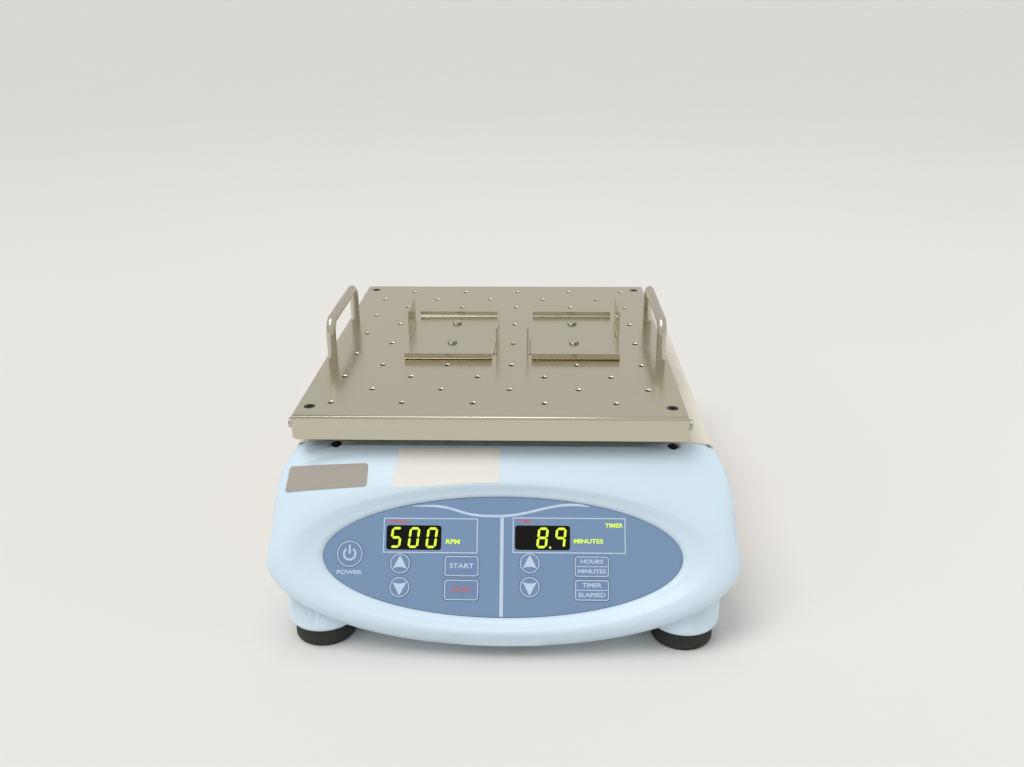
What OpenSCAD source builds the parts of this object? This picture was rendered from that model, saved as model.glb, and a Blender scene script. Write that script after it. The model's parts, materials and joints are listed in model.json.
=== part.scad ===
// Benchtop orbital shaker: a perforated platform carried round a small circle by one driven crank
// and three idler cranks, above a steel case with a moulded front cowl and an oval key panel.
// Millimetres, Z up, front towards -Y. The origin is on the table, under the middle of the footprint.

/* [Platform] */
// Width of the platform, left to right
platform_w = 276.6; // [272:0.1:284]
// Depth of the platform, front to back
platform_d = 325.3; // [318:0.1:334]
// Height of the platform's top above the table
platform_z = 154; // [154:0.5:160]
// Thickness of the platform's sheet
sheet_t = 1.9; // [1.5:0.1:2.3]
// Depth of the down-turned rim
rim_drop = 18.5; // [16:0.5:19]
// Outer radius of the rim's bend
rim_bend_r = 3.5; // [3:0.1:5]
// Pitch of the hole grid
grid_pitch = 25.4; // [24:0.1:25.6]
// Least distance from the middle of a grid hole to the platform's edge
grid_margin = 22; // [20:0.5:22.5]
// Radius of a tapped hole in the grid
grid_hole_r = 2.1; // [1.6:0.1:2.4]
// Centre of a corner screw, in from the platform's side edge
corner_inset_x = 10.3; // [9.5:0.1:12]
// Centre of a corner screw, in from the platform's front or rear edge
corner_inset_y = 15.7; // [14:0.1:17]

/* [Handles] */
// Diameter of the handle rod
rod_d = 7.5; // [6:0.1:8]
// Distance between a handle's two legs
handle_span = 100; // [80:1:120]
// Height of a handle above the platform
handle_h = 34.5; // [28:0.5:45]
// Radius of the handle's bends, at the middle of the rod
handle_bend_r = 10; // [7:0.5:14]
// Centre of a handle, in from the platform's side edge
handle_inset = 7.3; // [6.5:0.1:9]

/* [Rack clips] */
// Width of a rack clip's base
clip_w = 78; // [70:1:82]
// Depth of a rack clip, over its lips
clip_d = 112; // [104:1:116]
// Thickness of the clip's sheet
clip_t = 1.2; // [0.8:0.1:1.5]
// Height of the front and rear lips
clip_lip_h = 5.5; // [4:0.5:9]
// Width of the front and rear lips
clip_lip_w = 70; // [60:1:70]
// Height of the side blades
clip_blade_h = 22; // [14:1:30]
// Length of the side blades
clip_blade_l = 40; // [30:1:44]
// Middle of the clips, behind the middle of the platform
clip_y = 3.7; // [0:0.1:6]

/* [Orbit drive] */
// Diameter of the platform's orbit
orbit_d = 19; // [16:0.5:20]
// Middle of the platform's orbit, behind the middle of the footprint
orbit_y = 27.65; // [26:0.05:30]
// Front idlers, in from the side of the case
side_idler_inset = 50; // [48:1:56]
// Front idlers at rest, in from the front edge of the platform
front_idler_inset = 95; // [90:0.5:100]
// Rear idler at rest, in from the rear edge of the platform
rear_idler_inset = 48.3; // [45:0.1:52]
// Diameter of the drive shaft
drive_shaft_d = 17; // [15:0.5:18]
// Diameter of the driven crank pin
drive_pin_d = 12; // [10:0.5:13]
// Diameter of an idler shaft
idler_shaft_d = 12; // [10:0.5:13]
// Diameter of an idler crank pin
idler_pin_d = 10; // [8:0.5:11]
// Radius of the counterweight
weight_r = 62; // [56:1:66]
// Thickness of the counterweight
weight_t = 18; // [12:1:18]

/* [Belt and motor] */
// Pitch radius of the large pulley
drive_pitch_r = 48; // [44:1:50]
// Pitch radius of the motor pulley
motor_pitch_r = 15; // [14:0.5:18]
// Width of the belt
belt_w = 8; // [6:0.5:9]
// Thickness of the belt
belt_t = 2; // [1.5:0.1:2.5]
// Motor, in from the left side of the case
motor_inset = 70; // [66:1:74]
// Motor, behind the drive shaft
motor_back = 102.35; // [96:0.05:106]
// Radius of the motor's body
motor_r = 30; // [26:0.5:31]
// Length of the motor's body
motor_l = 44; // [36:1:45]

/* [Case] */
// Width of the case
case_w = 300; // [298:1:306]
// Height of the case's top above the table
case_top = 125.5; // [124:0.5:127]
// Thickness of the case's sheet steel
case_wall = 1.5; // [1:0.1:1.8]
// Radius of the case's bends
case_bend_r = 5; // [3:0.5:8]
// Outer face of the rear panel, behind the middle of the footprint
case_rear = 198.5; // [196:0.5:202]
// Height of the case's bottom above the table
case_bottom = 17; // [16:0.5:18]
// Thickness of the base pan
pan_t = 2; // [1.5:0.1:2.5]
// Height of the base pan's flanges
pan_flange = 14; // [12:1:18]

/* [Front cowl] */
// Joint between cowl and case, in front of the middle of the footprint
joint_y = 116.4; // [115:0.1:118]
// Wall of the cowl
cowl_wall = 3; // [2.5:0.1:3.2]
// Height of the cowl's flat ledge above the table
ledge_z = 125.7; // [125:0.1:127]
// Height of the cowl's lowest edge at the joint
skirt_z = 13.5; // [13:0.1:14.5]
// Half the cowl's width at its widest
cowl_half_w = 164.5; // [162:0.5:168]

/* [Key panel] */
// Half the width of the oval key panel
panel_a = 124; // [122:0.5:126]
// Half the height of the oval key panel
panel_b = 40.7; // [40:0.1:42]
// Backward lean of the key panel from upright, in degrees
panel_tilt = 32; // [31:0.5:33]
// Middle of the key panel, in front of the middle of the footprint
panel_front = 169.6; // [169:0.1:170.5]
// Middle of the key panel above the table
panel_z = 63.4; // [63:0.1:64.5]
// Depth of the dish round the key panel
dish_depth = 5; // [4:0.5:6]
// Thickness of the panel's overlay
overlay_t = 1.3; // [1:0.1:1.6]
// How far a key stands out of the panel
key_proud = 0.3; // [0.2:0.1:0.6]
// Gap round a key
key_gap = 0.25; // [0.2:0.05:0.4]
// Radius of the power key
power_key_r = 9.2; // [8:0.1:10]
// Radius of an arrow key
arrow_key_r = 7.1; // [6:0.1:7.4]
// Width of a rectangular key
wide_key_w = 23.8; // [20:0.1:26]
// Height of a rectangular key
wide_key_h = 14.1; // [12:0.1:14.6]
// Width of a display window
window_w = 38; // [34:0.5:40]
// Height of a display window
window_h = 16.7; // [15:0.1:18]

/* [Feet] */
// Radius of a rubber foot at the table
foot_r = 21.5; // [17:0.5:22]
// Height of a rubber foot
foot_h = 13.5; // [13:0.1:14.5]
// Feet, in from the side of the case
foot_inset = 23; // [22:0.5:30]
// Front feet, in front of the middle of the footprint
foot_front = 166; // [165:0.5:170]
// Rear feet, behind the middle of the footprint
foot_rear = 165; // [155:0.5:172]

/* [Hidden] */
$fn = 64;

// Clearances
run_gap = 0.04;     // shaft in the bore it turns in
seat_gap = 0.02;    // bearing in its housing, hub on its shaft
soft_gap = 0.3;     // parts that pass or nearly touch
thread_gap = 0.05;  // screw in its hole
cut = 1;            // how far a cutting tool runs past a face

// Platform frame at rest: the driven crank pin stands to the left of its shaft
orbit_r = orbit_d / 2;
platform_x = -orbit_r;
sheet_under = platform_z - sheet_t;
grid_columns = floor((platform_w - 2 * grid_margin) / grid_pitch) + 1;
grid_rows = floor((platform_d - 2 * grid_margin) / grid_pitch) + 1;
grid_x0 = -(grid_columns - 1) / 2 * grid_pitch;
grid_y0 = -(grid_rows - 1) / 2 * grid_pitch;
corner_x = platform_w / 2 - corner_inset_x;
corner_y = platform_d / 2 - corner_inset_y;
handle_x = platform_w / 2 - handle_inset;
rim_screw_y = platform_d / 2 - 9;
rim_screw_z = platform_z - 9.5;
clip_columns = [4, 8];
clip_rows = [6, 8];

// Carriage under the platform
carriage_pad = 3;
carriage_t = 5;
carriage_rib = 6;
carriage_top = sheet_under - carriage_pad;
carriage_bottom = carriage_top - carriage_t;

// Rolling bearings: [bore radius, outer radius, width]
drive_bearing = [drive_shaft_d / 2, drive_shaft_d / 2 + 11.5, 12];
crank_bearing = [drive_pin_d / 2, drive_pin_d / 2 + 10, 10];
idler_bearing = [idler_shaft_d / 2, idler_shaft_d / 2 + 8, 8];
idler_pin_bearing = [idler_pin_d / 2, idler_pin_d / 2 + 8, 8];
hub_wall = 5;

// Heights of the drive train
pan_top = case_bottom + pan_t;
drive_flange_r = 42;
drive_barrel_top = 72;
drive_bearing_z = [24, drive_barrel_top - 2 - drive_bearing[2]];
pulley_z = 76;
pulley_flange_t = 1.5;
pulley_w = belt_w + 1 + 2 * pulley_flange_t;
belt_z = pulley_z + pulley_flange_t + 0.5;
belt_gap = 0.3;
drive_groove_r = drive_pitch_r - belt_t / 2 - belt_gap;
motor_groove_r = motor_pitch_r - belt_t / 2 - belt_gap;
pulley_rim = 3;
weight_z = pulley_z + pulley_w + 2;
disc_z = weight_z + weight_t + 1;
drive_disc_r = orbit_r + drive_pin_d / 2 + 4.5;
idler_disc_r = orbit_r + idler_pin_d / 2 + 3.5;
disc_top = case_top + 5;
pin_bearing_top = carriage_bottom - 0.4;
pin_top = carriage_bottom + 1.5;
hub_bottom = carriage_bottom - crank_bearing[2] - 2;
case_hole_gap = 3;
idler_barrel_top = 100;
idler_bearing_z = [pan_top + 11, idler_barrel_top - 4 - idler_bearing[2]];
idler_flange_r = idler_bearing[1] + 12;
idler_side = case_w / 2 - side_idler_inset;
idler_front = platform_d / 2 - front_idler_inset;
idler_rear = platform_d / 2 - rear_idler_inset;
idler_points = [[-idler_side, -idler_front], [idler_side, -idler_front], [0, idler_rear]];

// Motor frame
motor_x = motor_inset - case_w / 2;
motor_y = orbit_y + motor_back;
bracket_t = 3;
bracket_top = pulley_z - 4.5;
bracket_w = 2 * motor_r + 16;
bracket_d = 2 * motor_r + 10;
motor_shaft_r = 4;

// Case and cowl
bulkhead_t = 1.5;
bulkhead_y = -joint_y + 1.9;
cover_front = -joint_y + 0.4;
pan_front = bulkhead_y + bulkhead_t;
rear_inner = case_rear - case_wall;
inner_half_w = case_w / 2 - case_wall - 0.2;
foot_side = case_w / 2 - foot_inset;
rear_screw_x = inner_half_w - 10.3;
cowl_points = 120;
cowl_bolt_x = case_w / 2 - 30;
cowl_bolt_y = -joint_y - 4.8;
tongue_t = 1.5;
tongue_half_w = case_w / 2 - 24;
tongue_top = ledge_z - cowl_wall - 1.3;

// Key panel frame: u to the right, v up the slope, w out of the panel
lens_gap = 0.15;
board_w = -12;
board_t = 1.6;
backplate_back = -(overlay_t + cowl_wall);
recess_gap = 0.45;
opening_a = panel_a - 3;
opening_b = panel_b - 3;
window_corner_r = 2;
wide_key_corner_r = 2;
speed_window_at = [-61.4, 12.5];
timer_window_at = [27.8, 13.1];
power_key_at = [-105.7, 1];
speed_up_at = [-70.5, -5.2];
speed_down_at = [-70.5, -21.2];
start_at = [-27.9, -6.6];
stop_at = [-27.9, -22.7];
time_up_at = [19.1, -4.2];
time_down_at = [19.1, -20.3];
hours_minutes_at = [61.7, -6.1];
timer_elapsed_at = [61.7, -22];
round_keys = [[power_key_at, power_key_r], [speed_up_at, arrow_key_r], [speed_down_at, arrow_key_r],
    [time_up_at, arrow_key_r], [time_down_at, arrow_key_r]];
wide_keys = [start_at, stop_at, hours_minutes_at, timer_elapsed_at];
key_points = concat([for (k = round_keys) k[0]], wide_keys);
spacer_points = [[-84, 24], [-84, -26], [0, 24], [0, -26], [84, 24], [84, -26]];

// Screws: [thread radius, head radius, head height]
pan_screw = [2.4, 4.2, 2.4];
small_screw = [1.9, 3.4, 2];

// Power section
board_x = case_w / 2 - 62;
board_y = 128;
board_size = [88, 108];
board_leg = 8;
inlet_x = board_x;
ribbon_x = board_x - 30;
inlet_z = 62;
inlet_body = [44, 27.5];

// Shapes shared by several pieces
module at_platform() {
    translate([platform_x, orbit_y, 0]) children();
}

module at_panel() {
    translate([0, -panel_front, panel_z]) rotate([90 - panel_tilt, 0, 0]) children();
}

module slab(low, high) {
    translate(low) cube(high - low);
}

module tube(outer_r, inner_r, h) {
    difference() {
        cylinder(r = outer_r, h = h);
        translate([0, 0, -cut]) cylinder(r = inner_r, h = h + 2 * cut);
    }
}

module rounded_rectangle(w, h, r) {
    square([w - 2 * r, h], center = true);
    square([w, h - 2 * r], center = true);
    for (x = [-1, 1], y = [-1, 1])
        translate([x * (w / 2 - r), y * (h / 2 - r)]) circle(r = r);
}

// A sealed ball bearing, with its shields set in
module bearing(size) {
    shield = 0.6;
    race = (size[1] - size[0]) * 0.26;
    difference() {
        tube(size[1], size[0], size[2]);
        for (z = [-cut, size[2] - shield])
            translate([0, 0, z]) tube(size[1] - race, size[0] + race, shield + cut);
    }
}

// A pan-head screw whose head stands on z = 0 and whose thread goes down
module pan_head_screw(size, length) {
    dome = 0.6;
    recess_r = size[0] * 0.55;
    difference() {
        union() {
            cylinder(r = size[1], h = size[2] - dome);
            translate([0, 0, size[2] - dome]) cylinder(r1 = size[1], r2 = size[1] - dome, h = dome);
            translate([0, 0, -length]) cylinder(r = size[0], h = length + dome);
        }
        translate([0, 0, size[2] - 1.2]) cylinder(r = recess_r, h = 2, $fn = 6);
    }
}

// A sheet bent down at both ends, as seen from its edge, with its top at 0
module bent_edge_profile(half, drop, r) {
    translate([-half, -drop]) square([2 * half, drop - r]);
    translate([-half + r, -r]) square([2 * (half - r), r]);
    for (side = [-1, 1]) translate([side * (half - r), -r]) circle(r = r);
}

module bent_tray(w, d, drop, r) {
    intersection() {
        rotate([90, 0, 0]) linear_extrude(d, center = true) bent_edge_profile(w / 2, drop, r);
        rotate([90, 0, 90]) linear_extrude(w, center = true) bent_edge_profile(d / 2, drop, r);
    }
}

// A crank: shaft, disc and an offset pin that stands to the left
module crank(shaft_r, shaft_from, disc_from, disc_r, pin_r, collar_r, collar_from) {
    chamfer = 0.8;
    translate([0, 0, shaft_from]) cylinder(r1 = shaft_r - chamfer, r2 = shaft_r, h = chamfer);
    translate([0, 0, shaft_from + chamfer]) cylinder(r = shaft_r, h = disc_from - shaft_from);
    translate([0, 0, collar_from]) cylinder(r = collar_r, h = disc_from - collar_from + cut);
    translate([0, 0, disc_from]) cylinder(r = disc_r, h = disc_top - disc_from);
    translate([-orbit_r, 0, disc_top - cut]) cylinder(r = pin_r, h = pin_top - chamfer - disc_top + cut);
    translate([-orbit_r, 0, pin_top - chamfer]) cylinder(r1 = pin_r, r2 = pin_r - chamfer, h = chamfer);
}

// Base and case
module base_pan() {
    seat_r = foot_r - 0.5;
    d = rear_inner - pan_front - 0.3;
    mid = (rear_inner - 0.3 + pan_front) / 2;
    color("gainsboro") difference() {
        union() {
            translate([0, mid, case_bottom]) mirror([0, 0, 1]) translate([0, 0, -pan_t - pan_flange])
                difference() {
                    translate([0, 0, pan_t + pan_flange]) bent_tray(2 * inner_half_w, d, pan_t + pan_flange, 2.5);
                    translate([0, 0, pan_flange]) bent_tray(2 * (inner_half_w - pan_t), d - 2 * pan_t,
                        pan_flange + cut, 1);
                }
            for (side = [-1, 1]) translate([side * foot_side, foot_rear, foot_h])
                cylinder(r1 = seat_r - 2, r2 = seat_r, h = pan_top - foot_h);
        }
        for (side = [-1, 1]) translate([side * foot_side, foot_rear, 0]) {
            translate([0, 0, foot_h - cut]) cylinder(r = small_screw[0] + thread_gap, h = 20);
            translate([0, 0, foot_h + pan_t]) cylinder(r = seat_r - 4, h = 20);
        }
        for (y = [-90 : 12 : -54], side = [-1, 1])
            translate([side * 40, y, case_bottom - cut]) linear_extrude(pan_t + 2 * cut)
                rounded_rectangle(44, 4, 1.9);
    }
}

module front_bulkhead() {
    color("lightgray") difference() {
        slab([-inner_half_w, bulkhead_y, case_bottom + 0.2],
            [inner_half_w, bulkhead_y + bulkhead_t - 0.1, tongue_top - tongue_t - soft_gap]);
        translate([ribbon_x, bulkhead_y + bulkhead_t / 2, 34]) rotate([90, 0, 0])
            linear_extrude(bulkhead_t * 4, center = true) rounded_rectangle(34, 12, 3);
    }
}

module case_cover() {
    length = rear_inner - cover_front + case_wall;
    mid = cover_front + length / 2;
    color("antiquewhite") difference() {
        union() {
            translate([0, mid, case_top]) rotate([90, 0, 0]) linear_extrude(length, center = true)
                difference() {
                    bent_edge_profile(case_w / 2, case_top - case_bottom, case_bend_r);
                    translate([0, -case_wall]) bent_edge_profile(case_w / 2 - case_wall,
                        case_top - case_bottom, case_bend_r - case_wall);
                }
            // Stepped tongue that the cowl's ledge is screwed to
            slab([-tongue_half_w, -joint_y - 6.9, tongue_top - tongue_t], [tongue_half_w, cover_front + 10, tongue_top]);
            slab([-tongue_half_w, cover_front + 3, tongue_top - tongue_t],
                [tongue_half_w, cover_front + 10, case_top - case_wall / 2]);
        }
        translate([0, orbit_y, case_top - 3 * cut]) cylinder(r = drive_disc_r + case_hole_gap, h = 5 * cut);
        for (p = idler_points) translate([p[0], orbit_y + p[1], case_top - 3 * cut])
            cylinder(r = idler_disc_r + case_hole_gap, h = 5 * cut);
        for (side = [-1, 1]) {
            translate([side * cowl_bolt_x, cowl_bolt_y, case_top - 10])
                cylinder(r = small_screw[0] + thread_gap, h = 20);
            for (y = case_screw_ys) translate([side * case_w / 2, y, case_screw_z]) rotate([0, 90, 0])
                cylinder(r = small_screw[0] + thread_gap, h = 10, center = true);
        }
    }
}

case_screw_ys = [-90, 40, 170];
case_screw_z = case_bottom + 9;

module case_screws() {
    color("dimgray") for (side = [-1, 1], y = case_screw_ys)
        translate([side * case_w / 2, y, case_screw_z]) rotate([0, side * 90, 0])
            pan_head_screw(small_screw, case_wall);
}

module cowl_screws() {
    color("dimgray") for (side = [-1, 1]) translate([side * cowl_bolt_x, cowl_bolt_y, ledge_z - 1.2])
        pan_head_screw(small_screw, cowl_wall + 2.2);
}

module rear_screws() {
    color("dimgray") for (x = [-1, 1], z = [case_bottom + 9, case_top - 14])
        translate([x * rear_screw_x, case_rear, z]) rotate([-90, 0, 0])
            pan_head_screw(small_screw, case_wall);
}

module rear_panel() {
    vent_w = 5;
    vent_h = 40;
    rear_panel_top = case_top - case_wall - 0.2;
    color("antiquewhite") difference() {
        translate([0, case_rear, rear_panel_top]) rotate([90, 0, 0]) linear_extrude(case_wall)
            bent_edge_profile(inner_half_w, rear_panel_top - case_bottom - 0.2, case_bend_r - case_wall);
        for (i = [0 : 11]) translate([-110 + i * 11, case_rear, 74]) rotate([90, 0, 0])
            linear_extrude(8, center = true) rounded_rectangle(vent_w, vent_h, vent_w / 2 - 0.1);
        translate([inlet_x, case_rear, inlet_z]) cube([inlet_body[0] + 0.3, 10, inlet_body[1] + 0.3], center = true);
        for (x = [-1, 1], z = [case_bottom + 9, case_top - 14])
            translate([x * rear_screw_x, case_rear, z]) rotate([90, 0, 0])
                cylinder(r = small_screw[0] + thread_gap, h = 10, center = true);
    }
}

module rubber_feet() {
    color("dimgray") for (x = [-1, 1], y = [-foot_front, foot_rear])
        translate([x * foot_side, y, 0]) rotate_extrude() polygon([
            [7, 0], [foot_r - 1, 0], [foot_r, 1.5], [foot_r, 4], [foot_r - 2.5, foot_h - 1.5],
            [foot_r - 3.5, foot_h], [small_screw[0] + thread_gap, foot_h],
            [small_screw[0] + thread_gap, 6], [7, 6]]);
}

module foot_screws() {
    color("silver") for (x = [-1, 1], y = [-foot_front, foot_rear])
        translate([x * foot_side, y, 6]) mirror([0, 0, 1]) pan_head_screw(small_screw, foot_h - 4.5);
}

// The moulded front cowl: one shell lofted from a boxy joint section to the oval round the key panel
function panel_point(v, w) = [-panel_front + v * sin(panel_tilt) - w * cos(panel_tilt),
    panel_z + v * cos(panel_tilt) + w * sin(panel_tilt)];

// A ring through its top and bottom points. Its widest place is a share "waist" of the way up,
// and the powers make its upper and lower halves boxy (large) or oval (2). The bulge is added to its
// sides, near the waist.
function ring(top, bottom, waist, half, upper_power, lower_power, bulge = 0) =
    let(middle = bottom + waist * (top - bottom), up = norm(top - middle), down = norm(middle - bottom),
        direction = (top - bottom) / norm(top - bottom))
    [for (k = [0 : cowl_points - 1])
        let(even = 360 * k / cowl_points, t = even + 4.5 * sin(4 * even), a = atan2(57 * sin(t), 160 * cos(t)), c = cos(a), s = sin(a),
            reach = s >= 0 ? up : down, power = s >= 0 ? upper_power : lower_power,
            r = pow(pow(abs(c / half), power) + pow(abs(s / reach), power), -1 / power),
            yz = middle + direction * (r * s),
            swell = bulge * pow(abs(r * c / half), 4) * exp(-pow(r * s / bulge_reach, 2)))
        [r * c + sign(c) * swell, yz[0], yz[1]]];

function panel_ring(v_top, v_bottom, w_top, w_bottom, waist, half, upper_power, lower_power, bulge = 0) =
    ring(panel_point(v_top, w_top), panel_point(-v_bottom, w_bottom), waist, half, upper_power, lower_power, bulge);

// Offsets of the sections between the joint and the oval band:
// [forward at the top, down at the top, forward at the bottom, wider, upper power, lower power]
cowl_sections = [[0, 0, 0, 0, 20, 14], [7, 0.1, 18, 3.5, 17, 7], [10, 1.8, 39, 6.5, 12, 4], [11.8, 3.2, 60, 9.5, 9, 2.7]];
cowl_bulge = 3;
bulge_reach = 17;

function cowl_section(s, inset) =
    let(top = [-joint_y - s[0], ledge_z - s[1]], bottom = [-joint_y - s[2], skirt_z - s[2] * 0.022],
        direction = (top - bottom) / norm(top - bottom))
    ring(top - direction * inset, bottom + direction * inset, 0.5, case_w / 2 + s[3] - inset, s[4], s[5]);

band_b = panel_b + 19.3;
rim_a = panel_a + 20.5;
rim_b = panel_b + 8.8;
crease_b = panel_b + 12.1;
dish_edge = [rim_a + 2.5, rim_b + 1.1];
dish_lip = [rim_a - 0.7, rim_b - 0.7];
dish_bowl = [panel_a + 12.5, panel_b + 6];
dish_floor = [panel_a + 5.5, panel_b + 3];

function even_ring(size, w) = panel_ring(size[1], size[1], w, w, 0.5, size[0], 2, 2);

function cowl_rings() = concat(
    [for (s = cowl_sections) cowl_section(s, 0)],
    [panel_ring(70, band_b, -3, -3.5, 0.43, cowl_half_w - cowl_bulge, 6, 2.05, cowl_bulge),
     panel_ring(65.5, (band_b + crease_b) / 2, -1.2, 0.2, 0.435, cowl_half_w - cowl_bulge - 1, 4.6, 2.15, cowl_bulge),
     panel_ring(61, crease_b, 0.5, 3.9, 0.45, cowl_half_w - cowl_bulge - 4.2, 3.6, 2.3, cowl_bulge),
     panel_ring(54.5, crease_b - 1.2, 3.1, 4.8, 0.48, cowl_half_w - 10.5, 2.5, 2.1),
     even_ring(dish_edge, dish_depth),
     even_ring(dish_lip, dish_depth - 0.5),
     even_ring(dish_bowl, dish_depth * 0.5),
     even_ring(dish_floor, dish_depth * 0.16),
     even_ring([panel_a + recess_gap, panel_b + recess_gap], 0),
     even_ring([panel_a + recess_gap, panel_b + recess_gap], -overlay_t),
     even_ring([opening_a, opening_b], -overlay_t),
     even_ring([opening_a, opening_b], backplate_back),
     even_ring([panel_a + 3, panel_b + 2.3], backplate_back),
     even_ring(dish_bowl, dish_depth * 0.5 - cowl_wall),
     panel_ring(rim_b + 1.5, rim_b + 1.2, dish_depth - cowl_wall - 0.6, dish_depth - cowl_wall - 1, 0.5, rim_a + 3, 2, 2),
     panel_ring(59.5, band_b - 4.6, -2.3, -2.6, 0.46, cowl_half_w - 7.5, 3.2, 2),
     panel_ring(67.5, band_b - 3, -5.7, -6, 0.43, cowl_half_w - cowl_bulge - cowl_wall - 0.3, 5.6, 2.05, cowl_bulge)],
    [for (i = [len(cowl_sections) - 1 : -1 : 0]) cowl_section(cowl_sections[i], cowl_wall)]);

module cowl_shell() {
    rings = cowl_rings();
    count = len(rings);
    n = cowl_points;
    polyhedron(
        points = [for (r = rings) each r],
        faces = [for (i = [0 : count - 1], k = [0 : n - 1])
            let(j = (i + 1) % count, m = (k + 1) % n)
            each [[i * n + k, j * n + k, j * n + m], [i * n + k, j * n + m, i * n + m]]]);
}

// A rounded pod under each front corner, which the foot is screwed to
module cowl_pod() {
    bottom_r = foot_r + 3.8;
    rounding = [[0, 4], [0.3, 2.5], [1.2, 1.2], [2.5, 0.3], [4, 0]];
    hull() {
        for (step = rounding) translate([0, 0, foot_h + step[0]]) cylinder(r = bottom_r - step[1], h = 0.1);
        translate([0, 8, foot_h + 28]) scale([1, 0.55, 1]) cylinder(r = bottom_r + 1.5, h = 0.1);
    }
}

module front_cowl() {
    color("lightblue") difference() {
        union() {
            cowl_shell();
            for (side = [-1, 1]) translate([side * foot_side, -foot_front, 0]) cowl_pod();
        }
        for (side = [-1, 1]) {
            translate([side * foot_side, -foot_front, 0]) cylinder(r = small_screw[0] + thread_gap, h = foot_h + 6);
            translate([side * cowl_bolt_x, cowl_bolt_y, ledge_z - 1.2]) cylinder(r = small_screw[1] + 0.4, h = 10);
            translate([side * cowl_bolt_x, cowl_bolt_y, ledge_z - 10])
                cylinder(r = small_screw[0] + thread_gap, h = 20);
        }
    }
}

// Key panel
function oval(a, b, n) = [for (k = [0 : n - 1]) [a * cos(360 * k / n), b * sin(360 * k / n)]];

module key_shapes(grow) {
    for (k = round_keys) translate(k[0]) circle(r = k[1] + grow);
    for (p = wide_keys) translate(p) rounded_rectangle(wide_key_w + 2 * grow, wide_key_h + 2 * grow,
        wide_key_corner_r + grow);
}

module window_shapes(grow) {
    for (p = [speed_window_at, timer_window_at]) translate(p)
        rounded_rectangle(window_w + 2 * grow, window_h + 2 * grow, window_corner_r + grow);
}

module panel_overlay() {
    color("lightslategray") at_panel() translate([0, 0, -overlay_t]) linear_extrude(overlay_t)
        difference() {
            polygon(oval(panel_a, panel_b, 96));
            key_shapes(key_gap);
            window_shapes(lens_gap);
        }
}

module panel_backplate() {
    color("silver") at_panel() translate([0, 0, backplate_back]) linear_extrude(cowl_wall - 0.1)
        difference() {
            polygon(oval(opening_a - 0.3, opening_b - 0.3, 96));
            key_shapes(0.6);
            window_shapes(-1);
        }
}

module window_lens(p) {
    color("black") at_panel() translate([p[0], p[1], -overlay_t]) linear_extrude(overlay_t - 0.05)
        rounded_rectangle(window_w, window_h, window_corner_r);
}

module speed_window() {
    window_lens(speed_window_at);
}

module timer_window() {
    window_lens(timer_window_at);
}

// A three-digit display module behind its window, with its pins through the board
module digit_display(p) {
    face = -overlay_t - 0.1;
    color("darkslategray") at_panel() translate([p[0], p[1], board_w + board_t]) {
        linear_extrude(face - board_w - board_t) square([window_w - 2.6, window_h - 2.6], center = true);
        for (i = [-5 : 5], row = [-1, 1]) translate([i * 2.54, row * 5.5, -2.5]) cylinder(r = 0.25, h = 3, $fn = 16);
    }
}

module speed_display() {
    digit_display(speed_window_at);
}

module timer_display() {
    digit_display(timer_window_at);
}

module display_board() {
    color("darkgreen") at_panel() translate([0, 0, board_w]) linear_extrude(board_t) difference() {
        union() {
            square([222, 20], center = true);
            translate([0, -2]) square([184, 60], center = true);
        }
        for (p = spacer_points) translate(p) circle(r = 1.2);
        for (p = [speed_window_at, timer_window_at], i = [-5 : 5], row = [-1, 1])
            translate([p[0] + i * 2.54, p[1] + row * 5.5]) circle(r = 0.35, $fn = 16);
    }
}

module board_spacers() {
    color("gold") at_panel() for (p = spacer_points)
        translate([p[0], p[1], board_w + board_t]) cylinder(r = 2.6, h = backplate_back - board_w - board_t - 0.02);
}

module key_switches() {
    top = -overlay_t - 0.55;
    color("black") at_panel() for (p = key_points) translate([p[0], p[1], board_w + board_t]) {
        translate([-3, -3, 0]) cube([6, 6, 3.5]);
        translate([0, 0, 3]) cylinder(r = 1.75, h = top - board_w - board_t - 3);
    }
}

module ribbon_cable() {
    from = panel_point(-18, board_w);
    ribbon_t = 1;
    path = [from + [0.4, -0.2], from + [14, -9], [-joint_y - 6, 34], [bulkhead_y + 4, 34], [bulkhead_y + 26, pan_top + 1.6],
        [board_y - board_size[1] / 2 - 14, pan_top + 1.6], [board_y - board_size[1] / 2 + 1, pan_top + board_leg - 0.4]];
    color("lightgray") translate([ribbon_x, 0, 0]) rotate([90, 0, 90]) linear_extrude(22, center = true)
        polygon(concat(path, [for (i = [len(path) - 1 : -1 : 0]) path[i] + [0, -ribbon_t]]));
}

module round_key(p, r) {
    color("slategray") at_panel() translate([p[0], p[1], -overlay_t]) {
        cylinder(r = r, h = overlay_t + key_proud - 0.2);
        translate([0, 0, overlay_t + key_proud - 0.2]) cylinder(r1 = r, r2 = r - 0.2, h = 0.2);
    }
}

module wide_key(p) {
    color("slategray") at_panel() translate([p[0], p[1], -overlay_t]) linear_extrude(overlay_t + key_proud)
        rounded_rectangle(wide_key_w, wide_key_h, wide_key_corner_r);
}

module power_key() {
    round_key(power_key_at, power_key_r);
}

module speed_up_key() {
    round_key(speed_up_at, arrow_key_r);
}

module speed_down_key() {
    round_key(speed_down_at, arrow_key_r);
}

module start_key() {
    wide_key(start_at);
}

module stop_key() {
    wide_key(stop_at);
}

module time_up_key() {
    round_key(time_up_at, arrow_key_r);
}

module time_down_key() {
    round_key(time_down_at, arrow_key_r);
}

module hours_minutes_key() {
    wide_key(hours_minutes_at);
}

module timer_elapsed_key() {
    wide_key(timer_elapsed_at);
}

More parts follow.
